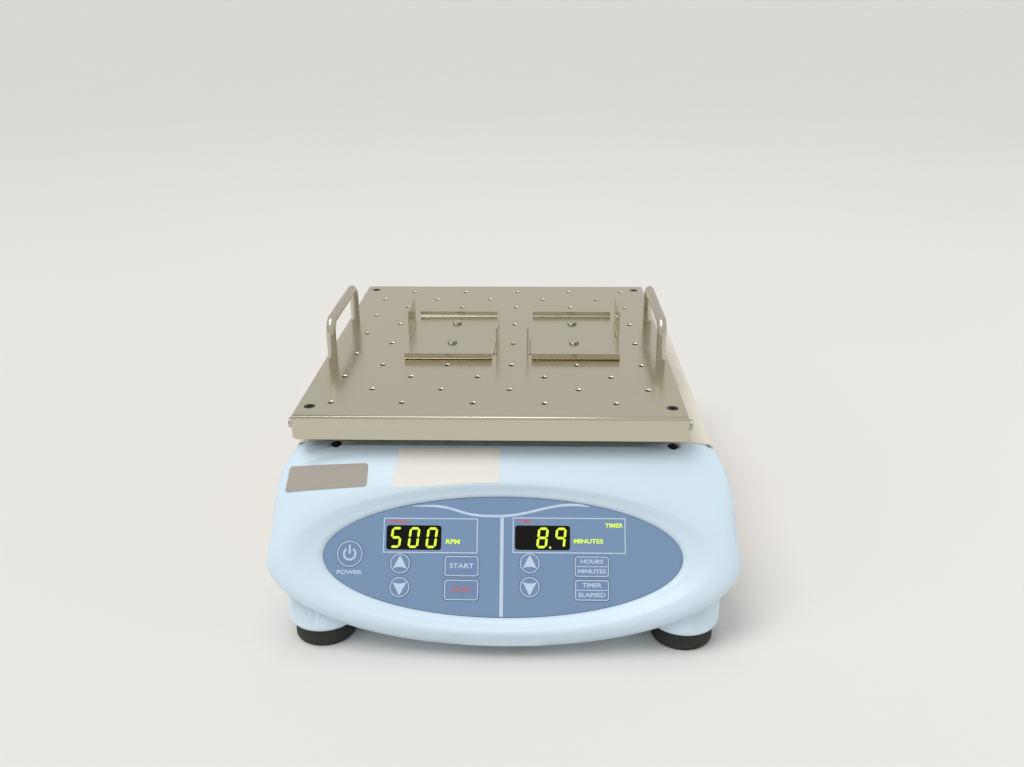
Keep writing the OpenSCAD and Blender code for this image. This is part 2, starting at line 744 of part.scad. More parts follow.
// Drive train
module drive_housing() {
    barrel_r = drive_bearing[1] + hub_wall;
    color("lightgray") translate([0, orbit_y, 0]) difference() {
        union() {
            translate([0, 0, pan_top]) cylinder(r = drive_flange_r, h = 7);
            translate([0, 0, pan_top]) cylinder(r = barrel_r, h = drive_barrel_top - pan_top);
            for (a = [45 : 90 : 315]) rotate([0, 0, a]) rotate([90, 0, 0]) linear_extrude(5, center = true)
                polygon([[0, pan_top], [drive_flange_r - 2, pan_top], [drive_flange_r - 2, pan_top + 8],
                    [barrel_r - 1, drive_barrel_top - 12], [0, drive_barrel_top - 12]]);
        }
        translate([0, 0, pan_top - cut]) cylinder(r = drive_bearing[1] - 4, h = drive_barrel_top);
        translate([0, 0, drive_bearing_z[0]]) cylinder(r = drive_bearing[1] + seat_gap, h = drive_bearing[2]);
        translate([0, 0, drive_bearing_z[1]]) cylinder(r = drive_bearing[1] + seat_gap, h = 20);
        for (a = [0 : 90 : 270]) rotate([0, 0, a]) translate([drive_flange_r - 6, 0, 0]) cylinder(r = 2.6, h = 40);
    }
}

module drive_bearings() {
    color("silver") for (z = drive_bearing_z) translate([0, orbit_y, z]) bearing(drive_bearing);
}

module drive_shaft() {
    color("darkgray") translate([0, orbit_y, 0])
        crank(drive_bearing[0] - run_gap, drive_bearing_z[0] - 2, disc_z, drive_disc_r, crank_bearing[0] - run_gap,
            drive_bearing[0] - run_gap, drive_barrel_top);
}

module grooved_pulley(groove_r, bore_r, w) {
    flange_r = groove_r + belt_t + 1.6;
    rotate_extrude() difference() {
        translate([bore_r, 0]) square([flange_r - bore_r, w]);
        translate([groove_r, pulley_flange_t]) square([10, w - 2 * pulley_flange_t]);
    }
}

module drive_pulley() {
    hub_r = 17;
    web_t = 4;
    color("silver") translate([0, orbit_y, pulley_z]) difference() {
        grooved_pulley(drive_groove_r, drive_bearing[0] + seat_gap, pulley_w);
        for (z = [-cut, (pulley_w + web_t) / 2]) translate([0, 0, z])
            tube(drive_groove_r - pulley_rim, hub_r, (pulley_w - web_t) / 2 + cut);
        for (a = [0 : 60 : 300]) rotate([0, 0, a]) translate([(hub_r + drive_groove_r - pulley_rim) / 2, 0, 0])
            cylinder(r = 8, h = pulley_w);
    }
}

// The counterweight stands opposite the crank pin
module counterweight() {
    hub_r = 18;
    color("dimgray") translate([0, orbit_y, weight_z]) difference() {
        union() {
            intersection() {
                cylinder(r = weight_r, h = weight_t, $fn = 96);
                translate([0, 0, weight_t / 2]) linear_extrude(2 * weight_t, center = true)
                    polygon([[0, -hub_r], [weight_r, -weight_r * 1.2], [weight_r * 2, 0], [weight_r, weight_r * 1.2],
                        [0, hub_r]]);
            }
            cylinder(r = hub_r, h = weight_t);
        }
        translate([0, 0, -cut]) cylinder(r = drive_bearing[0] + seat_gap, h = weight_t + 2 * cut);
        for (a = [-40, 0, 40]) rotate([0, 0, a]) translate([weight_r - 12, 0, weight_t - 6]) cylinder(r = 4, h = 10);
    }
}

module idler_housings() {
    barrel_r = idler_bearing[1] + 4;
    color("lightgray") for (p = idler_points) translate([p[0], orbit_y + p[1], 0]) difference() {
        union() {
            translate([0, 0, pan_top]) cylinder(r = idler_flange_r, h = 6);
            translate([0, 0, pan_top + 6]) cylinder(r1 = barrel_r + 4, r2 = barrel_r, h = 5);
            translate([0, 0, pan_top]) cylinder(r = barrel_r, h = idler_barrel_top - pan_top);
        }
        translate([0, 0, pan_top - cut]) cylinder(r = idler_bearing[1] - 3, h = 200);
        translate([0, 0, idler_bearing_z[0]]) cylinder(r = idler_bearing[1] + seat_gap, h = idler_bearing[2]);
        translate([0, 0, idler_bearing_z[1]]) cylinder(r = idler_bearing[1] + seat_gap, h = 20);
        for (a = [45 : 90 : 315]) rotate([0, 0, a]) translate([idler_flange_r - 4, 0, 0]) cylinder(r = 2, h = 40);
    }
}

module idler_bearings() {
    color("silver") for (p = idler_points, z = idler_bearing_z) translate([p[0], orbit_y + p[1], z])
        bearing(idler_bearing);
}

module idler_crank(p) {
    color("darkgray") translate([p[0], orbit_y + p[1], 0])
        crank(idler_bearing[0] - run_gap, idler_bearing_z[0] - 1.5, disc_z, idler_disc_r, idler_pin_bearing[0] - run_gap,
            idler_bearing[0] + 2.5, idler_bearing_z[1] + idler_bearing[2] + soft_gap);
}

module left_idler_crank() {
    idler_crank(idler_points[0]);
}

module right_idler_crank() {
    idler_crank(idler_points[1]);
}

module rear_idler_crank() {
    idler_crank(idler_points[2]);
}

// Motor and belt
motor_bolts = [for (a = [45 : 90 : 315]) [(motor_r - 6) * cos(a), (motor_r - 6) * sin(a)]];

module motor() {
    top = bracket_top - bracket_t;
    color("dimgray") translate([motor_x, motor_y, 0]) difference() {
        union() {
            translate([0, 0, top - motor_l]) cylinder(r = motor_r, h = motor_l);
            for (i = [0 : 3]) translate([0, 0, top - motor_l + 8 + i * 8]) cylinder(r = motor_r + 1.2, h = 4);
            translate([0, 0, top]) cylinder(r = 11, h = bracket_t + 0.5);
            translate([0, 0, top - motor_l - 3]) cylinder(r = 12, h = 4);
        }
        translate([0, 0, top - 30]) cylinder(r = motor_shaft_r + 0.06, h = 60);
        for (b = motor_bolts) translate([b[0], b[1], top - 8]) cylinder(r = small_screw[0] + thread_gap, h = 20);
    }
}

module motor_bracket() {
    w = bracket_w;
    d = bracket_d;
    foot_l = 12;
    color("lightgray") translate([motor_x, motor_y, 0]) difference() {
        union() {
            slab([-w / 2, -d / 2, bracket_top - bracket_t], [w / 2, d / 2, bracket_top]);
            for (side = [-1, 1]) {
                translate([side * (w - bracket_t) / 2, 0, (pan_top + bracket_top) / 2])
                    cube([bracket_t, d, bracket_top - pan_top], center = true);
                translate([side * (w + foot_l) / 2 - side * bracket_t, 0, pan_top + bracket_t / 2])
                    cube([foot_l, d, bracket_t], center = true);
            }
        }
        translate([0, 0, bracket_top - 3 * bracket_t]) cylinder(r = 11.1, h = 6 * bracket_t);
        for (b = motor_bolts) translate([b[0], b[1], 0]) cylinder(r = small_screw[0] + thread_gap, h = 100);
        for (y = [-22, 22], side = [-1, 1]) translate([side * (w / 2 + 4), y, pan_top - cut])
            linear_extrude(10) rounded_rectangle(5, 12, 2.4);
        for (y = [-18, 18], side = [-1, 1]) translate([side * w / 2, y, 44]) rotate([0, 90, 0])
            cylinder(r = 9, h = 20, center = true);
    }
}

module motor_screws() {
    color("silver") for (b = motor_bolts) translate([motor_x + b[0], motor_y + b[1], bracket_top])
        pan_head_screw(small_screw, bracket_t + 6);
}

module motor_shaft() {
    top = bracket_top - bracket_t;
    color("darkgray") translate([motor_x, motor_y, top - 29]) {
        cylinder(r = motor_shaft_r, h = pulley_z + pulley_w - top + 28);
        translate([0, 0, pulley_z + pulley_w - top + 28]) cylinder(r1 = motor_shaft_r, r2 = motor_shaft_r - 0.8, h = 0.8);
    }
}

module motor_pulley() {
    color("silver") translate([motor_x, motor_y, pulley_z])
        grooved_pulley(motor_groove_r, motor_shaft_r + seat_gap, pulley_w);
}

// The outline of a belt round both pulleys, with its straight runs on the common tangents
function arc_points(middle, r, from, to) =
    let(steps = ceil((to - from) / 3))
    [for (k = [0 : steps]) let(a = from + (to - from) * k / steps) middle + r * [cos(a), sin(a)]];

function belt_loop(extra) =
    let(large = drive_groove_r + belt_gap + extra, small = motor_groove_r + belt_gap + extra,
        run = [motor_x, motor_back], heading = atan2(run[1], run[0]), lean = acos((large - small) / norm(run)))
    concat(arc_points([0, 0], large, heading + lean, heading - lean + 360),
        arc_points(run, small, heading - lean, heading + lean));

module drive_belt() {
    color("black") translate([0, orbit_y, belt_z]) linear_extrude(belt_w) difference() {
        polygon(belt_loop(belt_t));
        polygon(belt_loop(0));
    }
}

// Power section
module power_board() {
    board_z = pan_top + board_leg;
    color("darkgreen") translate([board_x, board_y, 0]) {
        slab([-board_size[0] / 2, -board_size[1] / 2, board_z], [board_size[0] / 2, board_size[1] / 2, board_z + 1.6]);
        for (x = [-1, 1], y = [-1, 1]) translate([x * (board_size[0] / 2 - 5), y * (board_size[1] / 2 - 5), pan_top])
            cylinder(r = 3, h = board_leg + cut);
        for (i = [0 : 2]) translate([-30 + i * 17, -42, board_z + 1]) cylinder(r = 7, h = 26);
        for (i = [0 : 5]) translate([14 + i * 5, -46, board_z + 1]) cube([2, 26, 24]);
        translate([14, -46, board_z + 1]) cube([27, 26, 4]);
    }
}

module transformer() {
    base_z = pan_top + board_leg + 1.6;
    color("sienna") translate([board_x - 6, board_y + 4, base_z]) {
        difference() {
            slab([-28, -22, 0], [28, 22, 44]);
            for (side = [-1, 1]) translate([side * 13 - 5, -30, 10]) cube([10, 60, 24]);
        }
        translate([0, 0, 10]) linear_extrude(24) rounded_rectangle(34, 52, 5);
    }
}

module power_inlet() {
    flange = [52, 34];
    socket_at = 8;
    pin_y = -12;
    color("black") translate([inlet_x, case_rear, inlet_z]) {
        difference() {
            union() {
                translate([0, 1, 0]) rotate([90, 0, 0]) linear_extrude(2, center = true)
                    rounded_rectangle(flange[0], flange[1], 4);
                translate([0, -11, 0]) cube([inlet_body[0], 24, inlet_body[1]], center = true);
            }
            translate([socket_at, 0, 0]) rotate([90, 0, 0]) linear_extrude(36, center = true)
                polygon([[-12, -8.2], [12, -8.2], [12, 4.2], [8, 8.2], [-8, 8.2], [-12, 4.2]]);
            translate([-14, -1, 0]) cube([13.4, 44, 24.4], center = true);
        }
        translate([socket_at, -20.5, 0]) cube([25, 3, 17.4], center = true);
        for (p = [[-7, -2], [0, 2], [7, -2]]) translate([socket_at + p[0], pin_y, p[1]]) cube([2, 16, 4], center = true);
    }
}

module fuse_drawer() {
    drawer = [12.8, 18, 23.8];
    color("black") translate([inlet_x - 14, case_rear, inlet_z]) difference() {
        union() {
            translate([0, 1.6 - drawer[1] / 2, 0]) cube(drawer, center = true);
            translate([0, 0.9, 8]) rotate([0, 90, 0]) cylinder(r = 1.4, h = 9, center = true);
        }
        for (z = [-6, 6]) translate([0, -8, z]) rotate([0, 90, 0]) cylinder(r = 2.7, h = 20, center = true);
    }
}

// Platform and what rides on it
module grid_points(skip) {
    for (i = [1 : grid_columns], j = [1 : grid_rows])
        if ((i + j) % 2 == 0 && !(skip && len(search(i, clip_columns)) > 0 && len(search(j, clip_rows)) > 0))
            translate([grid_x0 + (i - 1) * grid_pitch, grid_y0 + (j - 1) * grid_pitch, 0]) children();
}

module platform_plate() {
    collar_r = grid_hole_r + 1.4;
    collar_h = 1.6;
    sink = 0.5;
    notch = 4.5;
    color("tan") at_platform() difference() {
        union() {
            translate([0, 0, platform_z]) difference() {
                bent_tray(platform_w, platform_d, rim_drop, rim_bend_r);
                translate([0, 0, -sheet_t]) bent_tray(platform_w - 2 * sheet_t, platform_d - 2 * sheet_t,
                    rim_drop + cut, rim_bend_r - sheet_t);
            }
            grid_points(false) translate([0, 0, sheet_under - collar_h]) cylinder(r = collar_r, h = collar_h + 0.5);
        }
        grid_points(false) {
            translate([0, 0, platform_z - 6]) cylinder(r = grid_hole_r, h = 8);
            translate([0, 0, platform_z - sink]) cylinder(r1 = grid_hole_r, r2 = grid_hole_r + 2 * sink, h = 2 * sink);
        }
        for (x = [-1, 1], y = [-1, 1]) {
            translate([x * platform_w / 2, y * platform_d / 2, platform_z - rim_drop / 2 - rim_bend_r])
                cube([notch, notch, rim_drop], center = true);
            translate([x * corner_x, y * corner_y, platform_z - 6]) cylinder(r = pan_screw[0] + thread_gap, h = 8);
            translate([x * corner_x, y * corner_y, platform_z - 1.6])
                cylinder(r1 = pan_screw[0] + thread_gap, r2 = 5.7 + thread_gap, h = 3.2);
            translate([x * platform_w / 2, y * rim_screw_y, rim_screw_z]) rotate([0, 90, 0])
                cylinder(r = small_screw[0] + thread_gap, h = 10, center = true);
            translate([x * handle_x, y * handle_span / 2, platform_z - 6])
                cylinder(r = small_screw[0] + thread_gap, h = 8);
        }
    }
}

// One tapered arm of the carriage casting, seen from above
module arm_shape(from, to, from_w, to_w) {
    run = to - from;
    length = norm(run);
    translate(from) rotate(atan2(run[1], run[0]))
        polygon([[0, -from_w / 2], [length, -to_w / 2], [length, to_w / 2], [0, from_w / 2]]);
}

// The arms: [from, to, width at the start, width at the end]
carriage_corners = [for (x = [-1, 1], y = [-1, 1]) [x * corner_x, y * corner_y]];
carriage_arms = concat(
    [for (p = idler_points) [[0, 0], p, 30, 22]],
    [[idler_points[0], carriage_corners[0], 22, 14], [idler_points[1], carriage_corners[2], 22, 14],
     [idler_points[2], carriage_corners[1], 22, 14], [idler_points[2], carriage_corners[3], 22, 14],
     [idler_points[0], carriage_corners[1], 16, 12], [idler_points[1], carriage_corners[3], 16, 12]]);

module carriage_frame() {
    drive_hub_r = crank_bearing[1] + hub_wall;
    idler_hub_r = idler_pin_bearing[1] + hub_wall - 1;
    pad_r = corner_inset_x - rim_bend_r;
    pad_drop = 3;
    rib_t = 5;
    rim_inner = platform_w / 2 - sheet_t - 0.1;
    color("lightgray") at_platform() difference() {
        union() {
            translate([0, 0, carriage_bottom]) linear_extrude(carriage_t) {
                for (a = carriage_arms) arm_shape(a[0], a[1], a[2], a[3]);
                circle(r = drive_hub_r + 1);
                for (p = idler_points) translate(p) circle(r = idler_hub_r + 1);
            }
            translate([0, 0, carriage_bottom - carriage_rib]) linear_extrude(carriage_rib + cut)
                for (a = carriage_arms) arm_shape(a[0], a[1], rib_t, rib_t);
            translate([0, 0, hub_bottom]) cylinder(r = drive_hub_r, h = carriage_bottom - hub_bottom + cut);
            for (p = idler_points) translate([p[0], p[1], hub_bottom])
                cylinder(r = idler_hub_r, h = carriage_bottom - hub_bottom + cut);
            for (c = carriage_corners) {
                side = sign(c[0]);
                end = sign(c[1]);
                translate([c[0], c[1], carriage_bottom - pad_drop])
                    cylinder(r = pad_r, h = sheet_under - carriage_bottom + pad_drop);
                // Ear that the rim screw bites in
                translate([c[0] + side * (rim_inner - corner_x) / 2, end * (rim_screw_y + corner_y) / 2,
                        carriage_bottom + 1.1])
                    cube([rim_inner - corner_x, rim_screw_y - corner_y + 8, carriage_t + 2], center = true);
            }
        }
        translate([0, 0, hub_bottom - cut])
            cylinder(r = crank_bearing[1] + seat_gap, h = pin_bearing_top - hub_bottom + cut);
        translate([0, 0, hub_bottom]) cylinder(r = crank_bearing[0] + 3, h = pin_top - hub_bottom + 1);
        for (p = idler_points) translate([p[0], p[1], 0]) {
            translate([0, 0, hub_bottom - cut])
                cylinder(r = idler_pin_bearing[1] + seat_gap, h = pin_bearing_top - hub_bottom + cut);
            translate([0, 0, hub_bottom]) cylinder(r = idler_pin_bearing[0] + 2.5, h = pin_top - hub_bottom + 1);
        }
        for (c = carriage_corners) {
            translate([c[0], c[1], 0]) cylinder(r = pan_screw[0] + thread_gap, h = platform_z);
            translate([sign(c[0]) * platform_w / 2, sign(c[1]) * rim_screw_y, rim_screw_z])
                rotate([0, 90, 0]) cylinder(r = small_screw[0] + thread_gap, h = 14, center = true);
        }
    }
}

module carriage_bearings() {
    color("silver") at_platform() {
        translate([0, 0, pin_bearing_top - crank_bearing[2]]) bearing(crank_bearing);
        for (p = idler_points) translate([p[0], p[1], pin_bearing_top - idler_pin_bearing[2]])
            bearing(idler_pin_bearing);
    }
}

module platform_screws() {
    head_h = 1.6;
    color("black") at_platform() for (x = [-1, 1], y = [-1, 1])
        translate([x * corner_x, y * corner_y, platform_z - head_h]) difference() {
            union() {
                cylinder(r1 = pan_screw[0], r2 = pan_screw[0] + head_h, h = head_h);
                translate([0, 0, -10]) cylinder(r = pan_screw[0], h = 10);
            }
            translate([0, 0, 0.2]) cylinder(r = 1.6, h = 4, $fn = 6);
        }
}

module rim_screws() {
    color("silver") at_platform() for (x = [-1, 1], y = [-1, 1])
        translate([x * platform_w / 2, y * rim_screw_y, rim_screw_z]) rotate([0, x * 90, 0])
            pan_head_screw([small_screw[0], 3.8, 3.2], 6);
}

module handle(side) {
    r = rod_d / 2;
    leg_h = handle_h - r - handle_bend_r;
    half = handle_span / 2;
    color("silver") at_platform() translate([side * handle_x, 0, platform_z]) difference() {
        union() {
            for (end = [-1, 1]) {
                translate([0, end * half, 0]) cylinder(r = r, h = leg_h);
                translate([0, end * (half - handle_bend_r), leg_h]) rotate([90, 0, end * 90])
                    rotate_extrude(angle = 90) translate([handle_bend_r, 0]) circle(r = r);
            }
            translate([0, 0, leg_h + handle_bend_r]) rotate([90, 0, 0])
                cylinder(r = r, h = handle_span - 2 * handle_bend_r, center = true);
        }
        for (end = [-1, 1]) translate([0, end * half, -cut]) cylinder(r = small_screw[0] + thread_gap, h = 11);
    }
}

module left_handle() {
    handle(-1);
}

module right_handle() {
    handle(1);
}

module handle_screws() {
    color("silver") at_platform() for (x = [-1, 1], y = [-1, 1])
        translate([x * handle_x, y * handle_span / 2, sheet_under]) mirror([0, 0, 1])
            pan_head_screw(small_screw, sheet_t + 8);
}

// A bent-up lip seen from its end: flat part to the left, lip upwards
module lip_profile(reach, h) {
    outer_r = 2;
    difference() {
        union() {
            translate([-reach, 0]) square([reach - outer_r, clip_t]);
            translate([-outer_r, outer_r]) circle(r = outer_r);
            translate([-clip_t, outer_r]) square([clip_t, h - outer_r]);
        }
        translate([-outer_r, outer_r]) circle(r = outer_r - clip_t + 0.4 * clip_t);
        translate([-reach, clip_t]) square([reach - clip_t, h]);
    }
}

module clip_lip(reach, h, w) {
    rotate([90, 0, 90]) linear_extrude(w, center = true) lip_profile(reach, h);
}

module rack_clip(side, column) {
    x = grid_x0 + (column - 1) * grid_pitch;
    flat = 6;
    color("silver") at_platform() translate([x, clip_y, platform_z]) difference() {
        union() {
            slab([-clip_w / 2 + flat - 2, -clip_d / 2 + flat - 2, 0], [clip_w / 2 - flat + 2, clip_d / 2 - flat + 2, clip_t]);
            translate([0, clip_d / 2, 0]) clip_lip(flat, clip_lip_h, clip_lip_w);
            mirror([0, 1, 0]) translate([0, clip_d / 2, 0]) clip_lip(flat, clip_lip_h, clip_lip_w);
            for (edge = [-1, 1]) translate([edge * clip_w / 2, edge * side * 22, 0]) rotate([0, 0, -edge * 90])
                clip_lip(flat, clip_blade_h, clip_blade_l);
        }
        for (row = clip_rows) translate([0, grid_y0 + (row - 1) * grid_pitch - clip_y, -cut])
            cylinder(r = grid_hole_r + 0.3, h = 3 * clip_t);
    }
}

module left_clip() {
    rack_clip(-1, clip_columns[0]);
}

module right_clip() {
    rack_clip(1, clip_columns[1]);
}

module clip_screws() {
    color("silver") at_platform() for (column = clip_columns, row = clip_rows)
        translate([grid_x0 + (column - 1) * grid_pitch, grid_y0 + (row - 1) * grid_pitch, platform_z + clip_t])
            pan_head_screw([grid_hole_r - thread_gap, 4, 2.2], clip_t + sheet_t + 1.5);
}

base_pan();
front_bulkhead();
case_cover();
rear_panel();
front_cowl();
cowl_screws();
case_screws();
rear_screws();
rubber_feet();
foot_screws();
panel_overlay();
panel_backplate();
speed_window();
timer_window();
speed_display();
timer_display();
display_board();
board_spacers();
key_switches();
ribbon_cable();
power_key();
speed_up_key();
speed_down_key();
start_key();
stop_key();
time_up_key();
time_down_key();
hours_minutes_key();
timer_elapsed_key();
drive_housing();
drive_bearings();
drive_shaft();
drive_pulley();
counterweight();
idler_housings();
idler_bearings();
left_idler_crank();
right_idler_crank();
rear_idler_crank();
motor();
motor_bracket();
motor_screws();
motor_shaft();
motor_pulley();
drive_belt();
power_board();
transformer();
power_inlet();
fuse_drawer();
platform_plate();
carriage_frame();
carriage_bearings();
platform_screws();
rim_screws();
left_handle();
right_handle();
handle_screws();
left_clip();
right_clip();
clip_screws();
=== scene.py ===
import json
import math

import bpy
from bpy.props import FloatProperty, FloatVectorProperty, PointerProperty, StringProperty
from mathutils import Matrix, Vector

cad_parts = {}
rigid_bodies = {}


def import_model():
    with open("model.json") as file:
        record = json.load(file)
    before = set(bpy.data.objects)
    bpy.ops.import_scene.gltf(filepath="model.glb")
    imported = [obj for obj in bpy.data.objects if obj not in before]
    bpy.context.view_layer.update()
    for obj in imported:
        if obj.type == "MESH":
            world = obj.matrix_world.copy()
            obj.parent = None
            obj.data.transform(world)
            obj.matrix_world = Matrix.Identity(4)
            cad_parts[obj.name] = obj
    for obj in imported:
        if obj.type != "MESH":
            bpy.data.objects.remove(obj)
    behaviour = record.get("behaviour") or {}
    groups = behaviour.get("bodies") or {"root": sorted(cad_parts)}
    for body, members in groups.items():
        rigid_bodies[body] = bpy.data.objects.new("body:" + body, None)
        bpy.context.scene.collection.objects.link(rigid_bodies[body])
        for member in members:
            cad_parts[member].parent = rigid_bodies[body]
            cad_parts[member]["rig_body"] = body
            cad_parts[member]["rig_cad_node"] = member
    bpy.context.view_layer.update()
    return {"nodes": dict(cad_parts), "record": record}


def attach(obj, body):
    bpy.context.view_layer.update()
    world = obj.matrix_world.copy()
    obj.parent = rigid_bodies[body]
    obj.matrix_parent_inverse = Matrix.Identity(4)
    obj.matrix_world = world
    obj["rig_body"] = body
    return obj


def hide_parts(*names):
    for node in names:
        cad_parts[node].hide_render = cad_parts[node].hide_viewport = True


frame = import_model()

bl_info = {
    "name": "Orbital shaker",
    "version": (1, 0, 0),
    "blender": (4, 5, 0),
    "location": "3D View > Sidebar > Shaker",
    "description": "Dresses the packed orbital shaker with finishes, panel printing and a studio",
    "category": "Object",
}

MM = 0.001

# The panel's slope in degrees, its middle in millimetres, and how far keys and print stand out of it
PANEL_TILT = 32
PANEL_MIDDLE = (0, -169.6, 63.4)
KEY_PROUD = 0.3
PRINT_T = 0.06

# The key panel's own frame, in millimetres: x to the right, y up the slope, z out of the panel
PANEL = (
    Matrix.Scale(MM, 4)
    @ Matrix.Translation(PANEL_MIDDLE)
    @ Matrix.Rotation(math.radians(90 - PANEL_TILT), 4, "X")
)

# Middles, radii and sizes of the keys, their print and the windows, in millimetres in that frame
ROUND_KEYS = {
    "power_key": ((-105.7, 1.0), 9.2),
    "speed_up_key": ((-70.5, -5.2), 7.1),
    "speed_down_key": ((-70.5, -21.2), 7.1),
    "time_up_key": ((19.1, -4.2), 7.1),
    "time_down_key": ((19.1, -20.3), 7.1),
}
WIDE_KEYS = {
    "start_key": (-27.9, -6.6),
    "stop_key": (-27.9, -22.7),
    "hours_minutes_key": (61.7, -6.1),
    "timer_elapsed_key": (61.7, -22.0),
}
WIDE_KEY_SIZE = (23.8, 14.1)
WIDE_KEY_CORNER = 1.9
WIDE_KEY_INSET = 0.2
ROUND_KEY_INSET = 0.25
KEY_LINE = 0.62
ONE_WORD_HEIGHT = 3.3
TWO_WORD_HEIGHT = 2.75
TWO_WORD_SHIFT = 3.3
KEY_WORD_STRETCH = 1.25
RULE_INSET = 1.2
RULE_T = 0.5
RULE_CORNER = 0.2
SPEED_WINDOW = (-61.4, 12.5)
TIMER_WINDOW = (27.8, 13.1)

# A capital letter takes this share of the font's size, and its lines are spread by this many millimetres
CAPITAL_SHARE = 0.72
LETTER_SPREAD = 0.09

# Where the plates' corners lie on the cowl, in millimetres in the part's frame: top left, top right,
# lower right, lower left
BADGE_CORNERS = (
    (-151.14, -132.8, 112.61),
    (-95.02, -133.58, 116.64),
    (-94.98, -146.37, 105.14),
    (-153.16, -144.51, 98.06),
)
LABEL_CORNERS = (
    (-73.86, -124.52, 124.96),
    (-2.61, -124.01, 125.25),
    (-2.56, -147.43, 108.11),
    (-77.17, -148.34, 104.79),
)

# A plate starts as a grid of squares this far outside the cowl, and is then drawn onto it
PLATE_LIFT = 4
PLATE_GRID = (60, 30)

# Points closer than this many metres are merged, and triangles within this many degrees are one face
MERGE_DISTANCE = 2e-6
FLAT_ANGLE = 0.3

# The finishes by name, made in main
paints = {}


def tone(red, green, blue):
    """A colour written as 0 to 255 on the screen, as the shader wants it."""
    return tuple(
        (c / 255 / 12.92) if c / 255 <= 0.04045 else ((c / 255 + 0.055) / 1.055) ** 2.4
        for c in (red, green, blue)
    )


def colour_property(name, description, value):
    return FloatVectorProperty(
        name=name, description=description, default=value, subtype="COLOR", size=3, min=0, max=1
    )


class ShakerFinish(bpy.types.PropertyGroup):
    """Colours and roughness of the pieces that show"""

    cowl: colour_property("Cowl", "Colour of the moulded front cowl", tone(215, 234, 247))
    overlay: colour_property("Overlay", "Colour of the oval key panel", tone(121, 149, 184))
    key: colour_property("Keys", "Colour of the key tops", tone(116, 144, 181))
    print_pale: colour_property("Pale print", "Colour of lines and legends", tone(200, 217, 238))
    print_red: colour_property("Red print", "Colour of the red legends", tone(205, 104, 118))
    lit: colour_property("Lit digits", "Colour of lit segments", tone(214, 245, 60))
    platform: colour_property("Platform", "Colour of the platform's sheet", tone(204, 199, 180))
    case: colour_property("Case", "Colour of the sheet steel case", tone(236, 230, 214))
    badge: colour_property("Badge", "Colour of the bare badge", tone(172, 165, 156))
    label: colour_property("Label", "Colour of the blank label", tone(238, 235, 227))
    gloss: FloatProperty(
        name="Plastic roughness", description="Roughness of the cowl", default=0.36, min=0, max=1
    )
    polish: FloatProperty(
        name="Platform roughness",
        description="Roughness of the platform's sheet",
        default=0.2,
        min=0,
        max=1,
    )


class ShakerDisplay(bpy.types.PropertyGroup):
    """What the two windows show"""

    speed: StringProperty(name="Speed", description="Digits in the left window", default="500")
    time: StringProperty(name="Time", description="Digits in the right window", default=" 8.9")
    slant: FloatProperty(
        name="Slant", description="Lean of the digits", default=math.radians(6.5), subtype="ANGLE"
    )


class ShakerStudio(bpy.types.PropertyGroup):
    """Floor, light and camera"""

    floor: colour_property("Floor", "Colour of the floor", tone(232, 230, 226))
    world: FloatProperty(name="World", description="Strength of the even light", default=0.52, min=0)
    sun: FloatProperty(name="Sun", description="Strength of the soft main light", default=1.2, min=0)
    fill: FloatProperty(name="Area lamps", description="Power of each area lamp", default=4, unit="POWER")
    lens: FloatProperty(name="Lens", description="Focal length of the camera, mm", default=32.89)


# Shader sums and nodes


class Val:
    """A shader value that is added and multiplied as a number is."""

    def __init__(self, owner, socket):
        self.owner = owner
        self.socket = socket

    def maths(self, operation, first, second):
        return self.owner.node("ShaderNodeMath", {"operation": operation}, {0: first, 1: second})

    def __add__(self, other):
        return self.maths("ADD", self, other)

    def __radd__(self, other):
        return self.maths("ADD", other, self)

    def __sub__(self, other):
        return self.maths("SUBTRACT", self, other)

    def __rsub__(self, other):
        return self.maths("SUBTRACT", other, self)

    def __mul__(self, other):
        return self.maths("MULTIPLY", self, other)

    def __rmul__(self, other):
        return self.maths("MULTIPLY", other, self)

    def larger(self, other):
        return self.maths("MAXIMUM", self, other)


class Nodes:
    """The nodes of a material or of the world."""

    def __init__(self, tree):
        self.tree = tree

    def node(self, kind, settings=None, inputs=None, out=0):
        """Adds a node with its settings, then its sockets' values or links, and gives one output."""
        made = self.tree.nodes.new(kind)
        for key, value in (settings or {}).items():
            setattr(made, key, value)
        for key, value in (inputs or {}).items():
            if isinstance(value, Val):
                self.tree.links.new(value.socket, made.inputs[key])
            else:
                made.inputs[key].default_value = value
        return Val(self, made.outputs[out])

    def mask(self, value, low, high):
        """0 below low, 1 above high and a soft step between."""
        return self.node(
            "ShaderNodeMapRange",
            {"interpolation_type": "SMOOTHSTEP"},
            {"Value": value, "From Min": low, "From Max": high, "To Min": 0.0, "To Max": 1.0},
        )

    def mixed(self, factor, low, high):
        """The colour low where factor is 0 and high where it is 1."""
        low = low if isinstance(low, Val) else (*low, 1)
        high = high if isinstance(high, Val) else (*high, 1)
        return self.node("ShaderNodeMix", {"data_type": "RGBA"}, {0: factor, 6: low, 7: high}, out=2)


